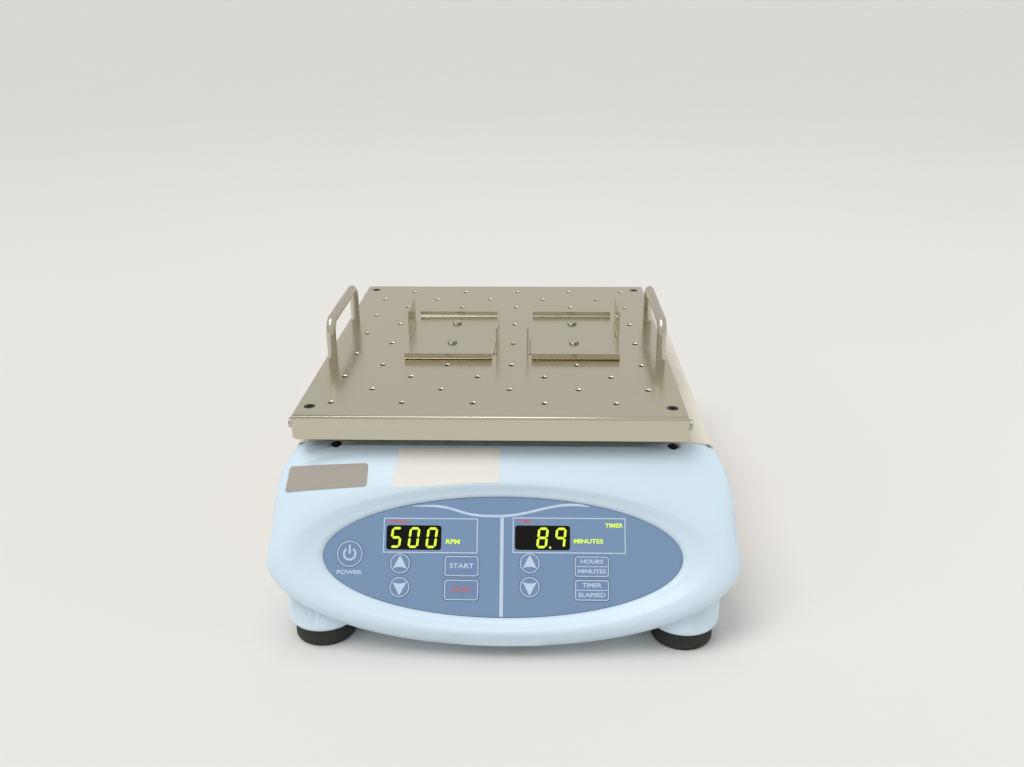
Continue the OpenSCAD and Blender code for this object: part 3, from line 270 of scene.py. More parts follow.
class Paint(Nodes):
    """A material whose colour, roughness and bump are built from nodes on Object coordinates."""

    def __init__(self, name, **constants):
        self.material = bpy.data.materials.new(name)
        self.material.use_nodes = True
        super().__init__(self.material.node_tree)
        self.shader = self.tree.nodes["Principled BSDF"]
        for label, value in constants.items():
            self.shader.inputs[label.replace("_", " ")].default_value = value
        self.place = self.node("ShaderNodeTexCoord", out="Object")

    def feed(self, label, value):
        self.tree.links.new(value.socket, self.shader.inputs[label])

    def stretched(self, scale):
        return self.node("ShaderNodeMapping", {}, {"Vector": self.place, "Scale": scale})

    def noise(self, size, detail=3.0, rough=0.5, where=None):
        """Noise from 0 to 1 whose lumps are about size millimetres across."""
        where = where or self.place
        lumps = 1 / (size * MM)
        return self.node(
            "ShaderNodeTexNoise",
            {},
            {"Vector": where, "Scale": lumps, "Detail": detail, "Roughness": rough},
        )

    def bump(self, height, depth):
        """Relief that follows height, depth millimetres deep."""
        made = self.node("ShaderNodeBump", {}, {"Height": height, "Distance": depth * MM}, out="Normal")
        self.feed("Normal", made)


def shaded(colour, factor):
    return tuple(max(0.0, min(1.0, c * factor)) for c in colour)


def moulded(name, colour, roughness, grain=0.35, depth=0.012, drift=0.04, **constants):
    """Moulded plastic, film or rubber: slow drift of colour, handling marks and a fine grain."""
    paint = Paint(name, **constants)
    slow = paint.noise(60, detail=2)
    specks = paint.mask(paint.noise(7, detail=5, rough=0.65), 0.60, 0.78)
    base = paint.mixed(slow, shaded(colour, 1 - drift), shaded(colour, 1 + drift))
    paint.feed("Base Color", paint.mixed(specks * 0.25, base, shaded(colour, 0.82)))
    marks = (paint.noise(18, detail=4, rough=0.6) - 0.5) * 0.14
    paint.feed("Roughness", roughness + marks + specks * 0.10)
    paint.bump(paint.noise(grain, detail=2), depth)
    return paint


def brushed(name, colour, roughness, stretch, size, depth, drift):
    """Metal with a grain along the axis that stretch shrinks, dull patches and fine scratches."""
    paint = Paint(name, Metallic=1.0)
    lines = paint.noise(size, detail=3, rough=0.6, where=paint.stretched(stretch))
    coarse = paint.noise(size * 7, detail=2, where=paint.stretched(stretch))
    patches = paint.noise(45, detail=4, rough=0.6)
    across = paint.stretched((1, 0.06, 1))
    scratches = paint.mask(paint.noise(1.3, detail=4, rough=0.7, where=across), 0.66, 0.72)
    base = paint.mixed(lines * 0.6 + coarse * 0.4, shaded(colour, 1 - drift), shaded(colour, 1 + drift))
    paint.feed("Base Color", paint.mixed(scratches * 0.3, base, shaded(colour, 1.25)))
    paint.feed("Roughness", roughness + (lines - 0.5) * 0.16 + (patches - 0.5) * 0.12)
    paint.bump(lines * 0.7 + coarse * 0.3, depth)
    return paint


def cast(name, colour, roughness=0.5, depth=0.12, metallic=0.9):
    """Sand-cast or rough metal: pitted skin with darker hollows."""
    paint = Paint(name, Metallic=metallic)
    skin = paint.noise(1.6, detail=5, rough=0.6)
    stains = paint.noise(25, detail=4, rough=0.6)
    blend = skin * 0.5 + stains * 0.5
    paint.feed("Base Color", paint.mixed(blend, shaded(colour, 0.72), shaded(colour, 1.18)))
    paint.feed("Roughness", roughness + (stains - 0.5) * 0.3)
    paint.bump(skin, depth)
    return paint


def turned(name, colour, roughness, pitch=0.35):
    """Turned metal: fine rings along Z, an oil film in patches."""
    paint = Paint(name, Metallic=1.0)
    rings = paint.noise(pitch, detail=2, where=paint.stretched((0.02, 0.02, 1)))
    oil = paint.mask(paint.noise(14, detail=4, rough=0.6), 0.45, 0.7)
    base = paint.mixed(rings, shaded(colour, 0.86), shaded(colour, 1.12))
    paint.feed("Base Color", paint.mixed(oil * 0.35, base, shaded(colour, 0.6)))
    paint.feed("Roughness", roughness + (rings - 0.5) * 0.15 - oil * 0.08)
    paint.bump(rings, 0.004)
    return paint


def enamel(name, colour, roughness, peel=0.03):
    """Powder coat: orange peel and a little dust."""
    paint = Paint(name)
    slow = paint.noise(90)
    dust = paint.mask(paint.noise(12, detail=6, rough=0.7), 0.5, 0.85)
    base = paint.mixed(slow, shaded(colour, 0.95), shaded(colour, 1.03))
    paint.feed("Base Color", paint.mixed(dust * 0.3, base, shaded(colour, 0.8)))
    paint.feed("Roughness", roughness + (paint.noise(30, detail=4) - 0.5) * 0.12 + dust * 0.12)
    paint.bump(paint.noise(1.1, rough=0.55), peel)
    return paint


def speckled_zinc(name):
    """Zinc-plated sheet: pale crystals of different grey."""
    paint = Paint(name, Metallic=0.9)
    crystals = paint.node(
        "ShaderNodeTexVoronoi", {"feature": "F1"}, {"Vector": paint.place, "Scale": 160.0}, out="Color"
    )
    tint = paint.node("ShaderNodeSeparateColor", {}, {0: crystals})
    paint.feed("Base Color", paint.mixed(tint, tone(150, 153, 155), tone(196, 198, 199)))
    paint.feed("Roughness", 0.34 + tint * 0.16 + (paint.noise(20, detail=4) - 0.5) * 0.12)
    paint.bump(paint.noise(3, detail=4, rough=0.6), 0.01)
    return paint


def glowing(name, colour):
    """Lit segments, a little uneven as behind a diffuser."""
    paint = Paint(name, Roughness=0.4, Emission_Strength=1.0)
    spread = paint.noise(2.2, detail=2)
    paint.feed("Base Color", paint.mixed(spread, shaded(colour, 0.3), shaded(colour, 0.4)))
    paint.feed("Emission Color", paint.mixed(spread, shaded(colour, 0.86), shaded(colour, 1.1)))
    return paint


def make_paints(finish):
    """Every finish on the shaker, by name.

    For moulded, the grain's size and depth in millimetres and the drift of the colour follow the roughness.
    """
    smoke = tone(7, 8, 6)
    off = tone(13, 14, 10)
    oxide = tone(30, 29, 28)
    return {
        "cowl": moulded("cowl_plastic", finish.cowl, finish.gloss, 0.5, 0.010, 0.018, Coat_Weight=0.06),
        "overlay": moulded("overlay_film", finish.overlay, 0.33, grain=0.30, depth=0.010, drift=0.02),
        "key": moulded("key_film", finish.key, 0.30, grain=0.30, depth=0.008, drift=0.02),
        "print_pale": moulded("pale_print", finish.print_pale, 0.4, grain=0.3, depth=0.003, drift=0.02),
        "print_red": moulded("red_print", finish.print_red, 0.4, grain=0.3, depth=0.003, drift=0.03),
        "lit": glowing("lit_segments", finish.lit),
        "unlit": moulded("unlit_segments", off, 0.5, 0.5, 0.004, 0.04, Specular_IOR_Level=0.15),
        "window": moulded("smoked_window", smoke, 0.2, 2.5, 0.001, 0.1, Specular_IOR_Level=0.2),
        "label": moulded("label_paper", finish.label, 0.55, grain=0.25, depth=0.008, drift=0.012),
        "badge": moulded("badge_foil", finish.badge, 0.5, 0.3, 0.003, 0.03, Specular_IOR_Level=0.3),
        "platform": brushed(
            "platform_sheet",
            finish.platform,
            finish.polish,
            stretch=(0.03, 1, 1),
            size=0.5,
            depth=0.003,
            drift=0.04,
        ),
        "rod": brushed(
            "handle_rod",
            tone(200, 195, 182),
            0.27,
            stretch=(1, 0.02, 1),
            size=0.4,
            depth=0.001,
            drift=0.05,
        ),
        "zinc_screw": turned("zinc_screw", tone(198, 197, 190), 0.26, pitch=0.2),
        "black_screw": moulded("black_oxide", oxide, 0.38, 0.3, 0.01, 0.2, Metallic=0.7),
        "case": enamel("cream_enamel", finish.case, 0.42),
        "zinc_sheet": speckled_zinc("zinc_sheet"),
        "rubber": moulded("foot_rubber", tone(46, 45, 41), 0.72, grain=0.9, depth=0.05, drift=0.15),
        "aluminium": cast("cast_aluminium", tone(170, 172, 174)),
        "bright": turned("bright_aluminium", tone(206, 208, 210), 0.24),
        "steel": turned("turned_steel", tone(168, 168, 167), 0.22),
        "bearing": turned("bearing_steel", tone(182, 183, 185), 0.18, pitch=0.25),
        "weight": cast("counterweight_iron", tone(74, 75, 77), 0.45, depth=0.06),
        "motor": enamel("motor_enamel", tone(44, 45, 48), 0.38, peel=0.02),
        "belt": moulded("belt_rubber", tone(28, 28, 28), 0.62, grain=0.7, depth=0.03, drift=0.15),
        "black": moulded("black_moulding", tone(30, 30, 31), 0.42, grain=0.5, depth=0.015, drift=0.12),
        "board": moulded("circuit_board", tone(28, 84, 48), 0.3, 1.2, 0.01, 0.12, Coat_Weight=0.3),
        "ribbon": moulded("ribbon_cable", tone(150, 151, 154), 0.5, grain=0.8, depth=0.03, drift=0.05),
        "brass": turned("turned_brass", tone(205, 172, 98), 0.24),
        "iron": cast("varnished_iron", tone(92, 76, 62), 0.5, depth=0.05, metallic=0.6),
    }


# Modelling


def select_only(obj):
    for other in bpy.context.selected_objects:
        other.select_set(False)
    obj.select_set(True)
    bpy.context.view_layer.objects.active = obj


def edit_all(obj, steps):
    """Runs steps in edit mode with all of obj selected."""
    select_only(obj)
    bpy.ops.object.mode_set(mode="EDIT")
    bpy.ops.mesh.select_all(action="SELECT")
    steps()
    bpy.ops.object.mode_set(mode="OBJECT")


def apply_modifier(obj, kind, **settings):
    select_only(obj)
    modifier = obj.modifiers.new(kind.title(), kind)
    for key, value in settings.items():
        setattr(modifier, key, value)
    bpy.ops.object.modifier_apply(modifier=modifier.name)


def paint_over(obj, paint):
    obj.data.materials.clear()
    obj.data.materials.append(paint.material)


def settle(obj, name, paint, body, smooth=0):
    """Names a finished piece, bakes its place into its mesh, paints it and puts it on its body."""
    select_only(obj)
    bpy.ops.object.transform_apply(location=True, rotation=True, scale=True)
    if smooth:
        bpy.ops.object.shade_smooth_by_angle(angle=math.radians(smooth))
    obj.name = name
    obj.data.name = name
    paint_over(obj, paints[paint])
    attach(obj, body)


def body_with(node):
    for body, members in frame["record"]["behaviour"]["bodies"].items():
        if node in members:
            return body
    raise ValueError("no body holds " + node)


def dress(node, paint):
    """A CAD node keeps its mesh and gets its finish."""
    paint_over(frame["nodes"][node], paints[paint])


def smoothed(node, paint, angle=32, flat_faces=True, whole_faces=False):
    """A merged, smooth-shaded copy of a CAD node that stands for it.

    angle is the sharpest bend that is still shaded round, in degrees. flat_faces keeps large faces flat
    beside round edges, and whole_faces also joins the triangles of each flat face.
    """
    source = frame["nodes"][node]
    select_only(source)
    bpy.ops.object.duplicate()
    obj = bpy.context.view_layer.objects.active
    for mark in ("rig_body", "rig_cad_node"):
        del obj[mark]
    obj.parent = None
    obj.matrix_world = Matrix.Identity(4)
    edit_all(obj, lambda: bpy.ops.mesh.remove_doubles(threshold=MERGE_DISTANCE))
    if whole_faces:
        edit_all(obj, lambda: bpy.ops.mesh.dissolve_limited(angle_limit=math.radians(FLAT_ANGLE)))
    settle(obj, node + "_finished", paint, body_with(node), angle)
    if flat_faces:
        apply_modifier(obj, "WEIGHTED_NORMAL", keep_sharp=True, weight=80)
    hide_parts(node)


def arc(middle, radius, first, last, steps):
    """Points on a circle from one angle to another in degrees, with both ends."""
    points = []
    for step in range(steps + 1):
        angle = math.radians(first + (last - first) * step / steps)
        points.append((middle[0] + radius * math.cos(angle), middle[1] + radius * math.sin(angle)))
    return points


def circle_loop(middle, radius, steps=48):
    return arc(middle, radius, 0, 360, steps)[:-1]


def rounded_loop(middle, width, height, radius, steps=6):
    """A closed outline: a rectangle with rounded corners."""
    points = []
    for turn, (side, end) in enumerate(((1, 1), (-1, 1), (-1, -1), (1, -1))):
        centre = (middle[0] + side * (width / 2 - radius), middle[1] + end * (height / 2 - radius))
        points += arc(centre, radius, 90 * turn, 90 * (turn + 1), steps)
    return points


def stamped(name, loops, low, high, paint, body):
    """A thin flat piece filled between closed outlines, from low to high out of the panel's plane."""
    curve = bpy.data.curves.new(name, "CURVE")
    curve.dimensions = "2D"
    curve.fill_mode = "BOTH"
    curve.extrude = (high - low) / 2
    for loop in loops:
        spline = curve.splines.new("POLY")
        spline.points.add(len(loop) - 1)
        for point, (u, v) in zip(spline.points, loop):
            point.co = (u, v, 0, 1)
        spline.use_cyclic_u = True
    obj = bpy.data.objects.new(name, curve)
    bpy.context.scene.collection.objects.link(obj)
    obj.matrix_world = PANEL @ Matrix.Translation((0, 0, (low + high) / 2))
    select_only(obj)
    bpy.ops.object.convert(target="MESH")
    settle(bpy.context.view_layer.objects.active, name, paint, body)


def lettered(name, words, middle, height, stretch, low, paint, body):
    """A plain legend in flat letters, height tall, stretched sideways and low above the panel."""
    bpy.ops.object.text_add()
    obj = bpy.context.view_layer.objects.active
    obj.data.body = words
    obj.data.align_x = "CENTER"
    obj.data.align_y = "CENTER"
    obj.data.size = height / CAPITAL_SHARE
    obj.data.extrude = PRINT_T / 2
    obj.data.offset = LETTER_SPREAD
    obj.data.resolution_u = 3
    obj.matrix_world = (
        PANEL
        @ Matrix.Translation((middle[0], middle[1], low + PRINT_T / 2))
        @ Matrix.Diagonal((stretch, 1, 1, 1))
    )
    select_only(obj)
    bpy.ops.object.convert(target="MESH")
    settle(bpy.context.view_layer.objects.active, name, paint, body)


class SHAKER_OT_cowl(bpy.types.Operator):
    """Finish the moulded front cowl"""

    bl_idname = "shaker.cowl"
    bl_label = "Front cowl"

    def execute(self, context):
        smoothed("front_cowl", "cowl", angle=25, flat_faces=False)
        return {"FINISHED"}


def rounded_place(s, t, width, height, radius):
    """Where a point of a square goes on a rectangle with rounded corners, both as 0 to 1 each way."""
    x, y = s * width, t * height
    side_x = radius if x < radius else width - radius if x > width - radius else None
    side_y = radius if y < radius else height - radius if y > height - radius else None
    if side_x is None or side_y is None:
        return s, t
    dx, dy = x - side_x, y - side_y
    reach = math.hypot(dx, dy)
    if reach == 0:
        return s, t
    pull = max(abs(dx), abs(dy)) / reach
    return (side_x + dx * pull) / width, (side_y + dy * pull) / height


def laid_on_cowl(name, corners, radius, thickness, paint, cowl):
    """A thin plate that follows the cowl, spanned by four points in millimetres, with rounded corners."""
    top_left, top_right, low_right, low_left = (Vector(c) * MM for c in corners)
    outward = (low_right - low_left).cross(top_left - low_left).normalized() * PLATE_LIFT * MM
    width = (top_right - top_left).length / MM
    height = (low_left - top_left).length / MM
    across, upward = PLATE_GRID
    bpy.ops.mesh.primitive_grid_add(
        x_subdivisions=across, y_subdivisions=upward, size=1, location=(0, 0, 0)
    )
    obj = bpy.context.view_layer.objects.active
    for vertex in obj.data.vertices:
        s, t = rounded_place(vertex.co.x + 0.5, vertex.co.y + 0.5, width, height, radius)
        low = low_left.lerp(low_right, s)
        vertex.co = low.lerp(top_left.lerp(top_right, s), t) + outward
    apply_modifier(obj, "SHRINKWRAP", target=cowl, wrap_method="NEAREST_SURFACEPOINT", offset=0)
    apply_modifier(obj, "SOLIDIFY", thickness=thickness * MM, offset=1)
    edit_all(obj, lambda: bpy.ops.mesh.normals_make_consistent(inside=False))
    settle(obj, name, paint, "base", smooth=30)


class SHAKER_OT_plates(bpy.types.Operator):
    """Lay the bare badge and the blank label on the cowl"""

    bl_idname = "shaker.plates"
    bl_label = "Badge and label"

    def execute(self, context):
        cowl = bpy.data.objects["front_cowl_finished"]
        laid_on_cowl("bare_badge", BADGE_CORNERS, 2.2, 0.6, "badge", cowl)
        laid_on_cowl("blank_label", LABEL_CORNERS, 1.2, 0.15, "label", cowl)
        return {"FINISHED"}


class SHAKER_OT_case(bpy.types.Operator):
    """Finish the case, the base pan and the feet"""

    bl_idname = "shaker.case"
    bl_label = "Case"

    def execute(self, context):
        for node, paint in (
            ("case_cover", "case"),
            ("rear_panel", "case"),
            ("base_pan", "zinc_sheet"),
            ("front_bulkhead", "zinc_sheet"),
            ("rubber_feet", "rubber"),
        ):
            smoothed(node, paint)
        return {"FINISHED"}


class SHAKER_OT_fasteners(bpy.types.Operator):
    """Finish every group of screws"""

    bl_idname = "shaker.fasteners"
    bl_label = "Screws"

    def execute(self, context):
        for node in ("cowl_screws", "case_screws", "rear_screws", "platform_screws"):
            smoothed(node, "black_screw")
        for node in ("foot_screws", "motor_screws", "rim_screws", "handle_screws", "clip_screws"):
            smoothed(node, "zinc_screw")
        return {"FINISHED"}


class SHAKER_OT_key_panel(bpy.types.Operator):
    """Finish the overlay, its windows and what stands behind them"""

    bl_idname = "shaker.key_panel"
    bl_label = "Key panel"

    def execute(self, context):
        smoothed("panel_overlay", "overlay")
        for node, paint in (
            ("speed_window", "window"),
            ("timer_window", "window"),
            ("panel_backplate", "bright"),
            ("speed_display", "black"),
            ("timer_display", "black"),
            ("display_board", "board"),
            ("board_spacers", "brass"),
            ("key_switches", "black"),
            ("ribbon_cable", "ribbon"),
        ):
            dress(node, paint)
        return {"FINISHED"}


def arrow_loop(middle, way):
    """A filled arrowhead with a round tip and a foot that bows in, as a closed outline."""
    tip, foot, half, bow = 5.6, -3.5, 4.8, 1.1
    nose, nose_drop, foot_steps = 0.55, 0.9, 12
    points = arc((0, tip - nose_drop), nose, 150, 30, 4)
    for k in range(foot_steps + 1):
        across = half - 2 * half * k / foot_steps
        points.append((across, foot + bow * (1 - (across / half) ** 2)))
    return [(middle[0] + x, middle[1] + way * y) for x, y in points]


def power_loops(middle):
    """An open ring with a bar standing in its gap."""
    outer, inner, gap, steps = 4.6, 3.4, 34, 36
    bar_rise, bar_width, bar_height, bar_corner = 3.0, 1.2, 6.4, 0.5
    ring = arc(middle, outer, 90 + gap, 450 - gap, steps) + arc(middle, inner, 90 - gap, gap - 270, steps)
    bar = rounded_loop((middle[0], middle[1] + bar_rise), bar_width, bar_height, bar_corner, 3)
    return [ring, bar]


def printed_on_key(node, ending, loops):
    """Pale print on the top of a key, which rides with it."""
    top = KEY_PROUD + PRINT_T
    stamped(node + ending, loops, KEY_PROUD, top, "print_pale", body_with(node))


class SHAKER_OT_keys(bpy.types.Operator):
    """Finish the keys, with an outline and a symbol or legend on each"""

    bl_idname = "shaker.keys"
    bl_label = "Keys"

    def execute(self, context):
        for node, (middle, radius) in ROUND_KEYS.items():
            smoothed(node, "key")
            rim = radius - ROUND_KEY_INSET
            loops = [circle_loop(middle, rim), circle_loop(middle, rim - KEY_LINE)]
            printed_on_key(node, "_outline", loops)
        for node, middle in WIDE_KEYS.items():
            smoothed(node, "key")
            loops = []
            for line in (0, KEY_LINE):
                width, height = (size - 2 * WIDE_KEY_INSET - 2 * line for size in WIDE_KEY_SIZE)
                loops.append(rounded_loop(middle, width, height, WIDE_KEY_CORNER - line))
            printed_on_key(node, "_outline", loops)
        for node, way in (
            ("speed_up_key", 1),
            ("time_up_key", 1),
            ("speed_down_key", -1),
            ("time_down_key", -1),
        ):
            printed_on_key(node, "_arrow", [arrow_loop(ROUND_KEYS[node][0], way)])
        printed_on_key("power_key", "_symbol", power_loops(ROUND_KEYS["power_key"][0]))
        for node, words, shift, paint in (
            ("start_key", "START", 0, "print_pale"),
            ("stop_key", "STOP", 0, "print_red"),
            ("hours_minutes_key", "HOURS", TWO_WORD_SHIFT, "print_pale"),
            ("hours_minutes_key", "MINUTES", -TWO_WORD_SHIFT, "print_pale"),
            ("timer_elapsed_key", "TIMER", TWO_WORD_SHIFT, "print_pale"),
            ("timer_elapsed_key", "ELAPSED", -TWO_WORD_SHIFT, "print_pale"),
        ):
            name = words.lower() + "_legend"
            place = (WIDE_KEYS[node][0], WIDE_KEYS[node][1] + shift)
            height = TWO_WORD_HEIGHT if shift else ONE_WORD_HEIGHT
            body = body_with(node)
            lettered(name, words, place, height, KEY_WORD_STRETCH, KEY_PROUD, paint, body)
        for node in ("hours_minutes_key", "timer_elapsed_key"):
            length = WIDE_KEY_SIZE[0] - 2 * RULE_INSET
            printed_on_key(node, "_line", [rounded_loop(WIDE_KEYS[node], length, RULE_T, RULE_CORNER, 2)])
        return {"FINISHED"}


def printed_on_panel(name, loops):
    """Pale print on the overlay."""
    stamped(name, loops, 0, PRINT_T, "print_pale", "base")


def swoosh_loop():
    """The wavy line across the top of the overlay, which thins out at both ends."""
    line = [
        (-62.9, 34.0), (-54, 34.4), (-45.4, 34.3), (-37, 32.9), (-29.3, 30.6), (-22, 28.7), (-14.3, 27.9),
        (-7, 27.7), (-0.7, 27.8), (4, 28.1), (9.0, 28.7), (16.5, 30.2), (24.5, 32.1), (32, 34.0),
        (39.9, 35.4), (46, 35.9), (52, 35.9), (56.5, 35.4), (60.5, 34.6),
    ]
    taper, full = [0.2, 0.6], 0.85
    halves = taper + [full] * (len(line) - 2 * len(taper)) + taper[::-1]
    upper = [(u, v + half) for (u, v), half in zip(line, halves)]
    lower = [(u, v - half) for (u, v), half in zip(line, halves)]
    return upper + lower[::-1]


def frame_loops(low, high):
    """A thin frame between its lower left and upper right corners."""
    line, outer_corner, inner_corner, steps = 0.7, 0.6, 0.3, 3
    middle = ((low[0] + high[0]) / 2, (low[1] + high[1]) / 2)
    width, height = high[0] - low[0], high[1] - low[1]
    return [
        rounded_loop(middle, width, height, outer_corner, steps),
        rounded_loop(middle, width - 2 * line, height - 2 * line, inner_corner, steps),
    ]


class SHAKER_OT_panel_print(bpy.types.Operator):
    """Print the lines, frames and legends on the overlay"""

    bl_idname = "shaker.panel_print"
    bl_label = "Panel print"

    def execute(self, context):
        divider = [(-1.5, -40.2), (0.9, -40.2), (0.9, 27.4), (-1.5, 27.4)]
        printed_on_panel("panel_swoosh", [swoosh_loop()])
        printed_on_panel("panel_divider", [divider])
        printed_on_panel("speed_frame", frame_loops((-82.7, 2.0), (-17.1, 26.0)))
        printed_on_panel("timer_frame", frame_loops((7.1, 2.7), (85.1, 27.0)))
        for name, words, middle, height, stretch, paint in (
            ("power_legend", "POWER", (-105.7, -11.6), 2.7, 1.35, "print_pale"),
            ("rpm_legend", "RPM", (-34.3, 9.8), 3.1, 1.25, "lit"),
            ("speed_title", "SPEED", (-71.9, 23.4), 2.1, 1.7, "print_red"),
            ("time_title", "TIME", (15.6, 24.2), 2.2, 1.3, "print_red"),
            ("minutes_mark", "MINUTES", (59.4, 10.9), 2.9, 1.25, "lit"),
            ("timer_mark", "TIMER", (77.1, 21.8), 2.9, 1.1, "lit"),
        ):
            lettered(name, words, middle, height, stretch, 0, paint, "base")
        return {"FINISHED"}


# The lit segments of each figure: a at the top, on clockwise to f, and g across the middle
SEGMENTS = {
    "0": "abcdef", "1": "bc", "2": "abdeg", "3": "abcdg", "4": "bcfg", "5": "acdfg", "6": "acdefg",
    "7": "abc", "8": "abcdefg", "9": "abcfg", " ": "",
}
DIGIT_PITCH = 12.4
DIGIT_FACE = -0.05
LIT_T = 0.05
UNLIT_T = 0.03
DOT_BACK = 0.9
DOT_DROP = 6.6
DOT_RADIUS = 0.75


def segment_loop(letter, middle, slant):
    """One six-sided segment of a digit, as a closed outline."""
    half_w, half_h, half_t, gap = 2.9, 6.3, 0.8, 0.25
    lying = {"a": half_h, "g": 0.0, "d": -half_h}
    if letter in lying:
        end = half_w - gap
        points = [
            (-end, 0), (-end + half_t, half_t), (end - half_t, half_t),
            (end, 0), (end - half_t, -half_t), (-end + half_t, -half_t),
        ]
        points = [(x, y + lying[letter]) for x, y in points]
    else:
        side = half_w if letter in "bc" else -half_w
        low, high = (gap, half_h - gap) if letter in "bf" else (-half_h + gap, -gap)
        points = [
            (0, low), (half_t, low + half_t), (half_t, high - half_t),
            (0, high), (-half_t, high - half_t), (-half_t, low + half_t),
        ]
        points = [(x + side, y) for x, y in points]
    return [(middle[0] + x + y * math.tan(slant), middle[1] + y) for x, y in points]


class SHAKER_OT_digits(bpy.types.Operator):
    """Light the digits in both windows, with their unlit segments"""

    bl_idname = "shaker.digits"
    bl_label = "Digits"

    def execute(self, context):
        display = context.scene.shaker_display
        for name, text, window in (
            ("speed", display.speed, SPEED_WINDOW),
            ("timer", display.time, TIMER_WINDOW),
        ):
            lit, unlit = [], []
            cells = text.replace(".", "")
            for k, character in enumerate(cells):
                middle = (window[0] + (k - len(cells) // 2) * DIGIT_PITCH, window[1])
                for letter in "abcdefg":
                    loop = segment_loop(letter, middle, display.slant)
                    (lit if letter in SEGMENTS[character] else unlit).append(loop)
                dot_place = (middle[0] + DIGIT_PITCH / 2 - DOT_BACK, middle[1] - DOT_DROP)
                marked = text.find(".") == k + 1
                (lit if marked else unlit).append(circle_loop(dot_place, DOT_RADIUS, 16))
            for ending, loops, thick, paint in (
                ("_digits", lit, LIT_T, "lit"),
                ("_unlit", unlit, UNLIT_T, "unlit"),
            ):
                top = DIGIT_FACE + thick
                stamped(name + ending, loops, DIGIT_FACE, top, paint, "base")
        return {"FINISHED"}


class SHAKER_OT_platform(bpy.types.Operator):
    """Finish the perforated platform and the casting that carries it"""

    bl_idname = "shaker.platform"
    bl_label = "Platform"

    def execute(self, context):
        smoothed("platform_plate", "platform", whole_faces=True)
        smoothed("carriage_frame", "aluminium")
        smoothed("carriage_bearings", "bearing")
        return {"FINISHED"}


class SHAKER_OT_handles(bpy.types.Operator):
    """Finish both bail handles"""

    bl_idname = "shaker.handles"
    bl_label = "Handles"

    def execute(self, context):
        for node in ("left_handle", "right_handle"):
            smoothed(node, "rod", angle=50)
        return {"FINISHED"}


class SHAKER_OT_clips(bpy.types.Operator):
    """Finish both rack clips"""

    bl_idname = "shaker.clips"
    bl_label = "Rack clips"

    def execute(self, context):
        for node in ("left_clip", "right_clip"):
            smoothed(node, "platform", whole_faces=True)
        return {"FINISHED"}


class SHAKER_OT_drive(bpy.types.Operator):
    """Finish the drive train: shaft, idlers, bearings, pulleys, belt and motor"""

    bl_idname = "shaker.drive"
    bl_label = "Drive train"

    def execute(self, context):
        for node, paint in (
            ("drive_housing", "aluminium"),
            ("idler_housings", "aluminium"),
            ("drive_bearings", "bearing"),
            ("idler_bearings", "bearing"),
            ("drive_shaft", "steel"),
            ("left_idler_crank", "steel"),
            ("right_idler_crank", "steel"),
            ("rear_idler_crank", "steel"),
            ("drive_pulley", "bright"),
            ("motor_pulley", "bright"),
            ("motor_shaft", "steel"),
            ("counterweight", "weight"),
            ("motor", "motor"),
            ("drive_belt", "belt"),
        ):
            smoothed(node, paint)
        dress("motor_bracket", "zinc_sheet")
        return {"FINISHED"}


class SHAKER_OT_electrics(bpy.types.Operator):
    """Finish the power section and the inlet at the back"""

    bl_idname = "shaker.electrics"
    bl_label = "Power section"

    def execute(self, context):
        for node, paint in (
            ("power_board", "board"),
            ("transformer", "iron"),
            ("power_inlet", "black"),
            ("fuse_drawer", "black"),
        ):
            smoothed(node, paint)
        return {"FINISHED"}


# Lamps, room and camera: places in metres, angles in degrees. The camera is the photograph's, solved from
# the platform's holes.
SUN_FROM = Vector((-0.5, -0.3, 1.4))
SUN_SPREAD = 35
AREA_LAMPS = (
    ("left_lamp", (-1.5, -1.0, 1.3), 0.9),
    ("right_lamp", (1.6, -0.5, 1.1), 1.0),
    ("back_lamp", (0.0, 1.0, 2.3), 1.0),
)
LAMP_AIM = (0, 0, 0.1)
ROOM_BELOW = tone(204, 201, 195)
ROOM_ABOVE = tone(216, 213, 207)
ROOM_BLEND = (-0.1, 0.5)
FLOOR_SIZE = 600
CAMERA_PLACE = (0.02399, -0.72348, 0.41489)
CAMERA_TURN = (68.1096, 0.3248, 1.5695)
SENSOR_WIDTH = 36
SIGHT_END = 100


def light_world(context, studio):
    """Even light on the object, the floor's tone for the camera, and a plain room in what mirrors it."""
    world = bpy.data.worlds.new("studio_world")
    context.scene.world = world
    world.use_nodes = True
    nodes = Nodes(world.node_tree)

    def glow(colour, strength):
        return nodes.node("ShaderNodeBackground", {}, {"Color": colour, "Strength": strength})

    def ray(name):
        return nodes.node("ShaderNodeLightPath", out=name)

    def either(factor, first, second):
        return nodes.node("ShaderNodeMixShader", {}, {0: factor, 1: first, 2: second})

    heading = nodes.node("ShaderNodeTexCoord", out="Generated")
    upward = nodes.node("ShaderNodeSeparateXYZ", {}, {0: heading}, out=2)
    even = glow((1, 1, 1, 1), studio.world)
    mirrored = glow(nodes.mixed(nodes.mask(upward, *ROOM_BLEND), ROOM_BELOW, ROOM_ABOVE), 1.0)
    # What the matt floor sends back far from the object, per unit of its colour
    far_light = studio.world + studio.sun * SUN_FROM.normalized().z / math.pi
    seen = glow((*shaded(studio.floor, far_light), 1), 1.0)
    shiny = ray("Is Glossy Ray").larger(ray("Is Transmission Ray"))
    outer = either(ray("Is Camera Ray"), either(shiny, even, mirrored), seen)
    nodes.tree.links.new(outer.socket, nodes.tree.nodes["World Output"].inputs["Surface"])


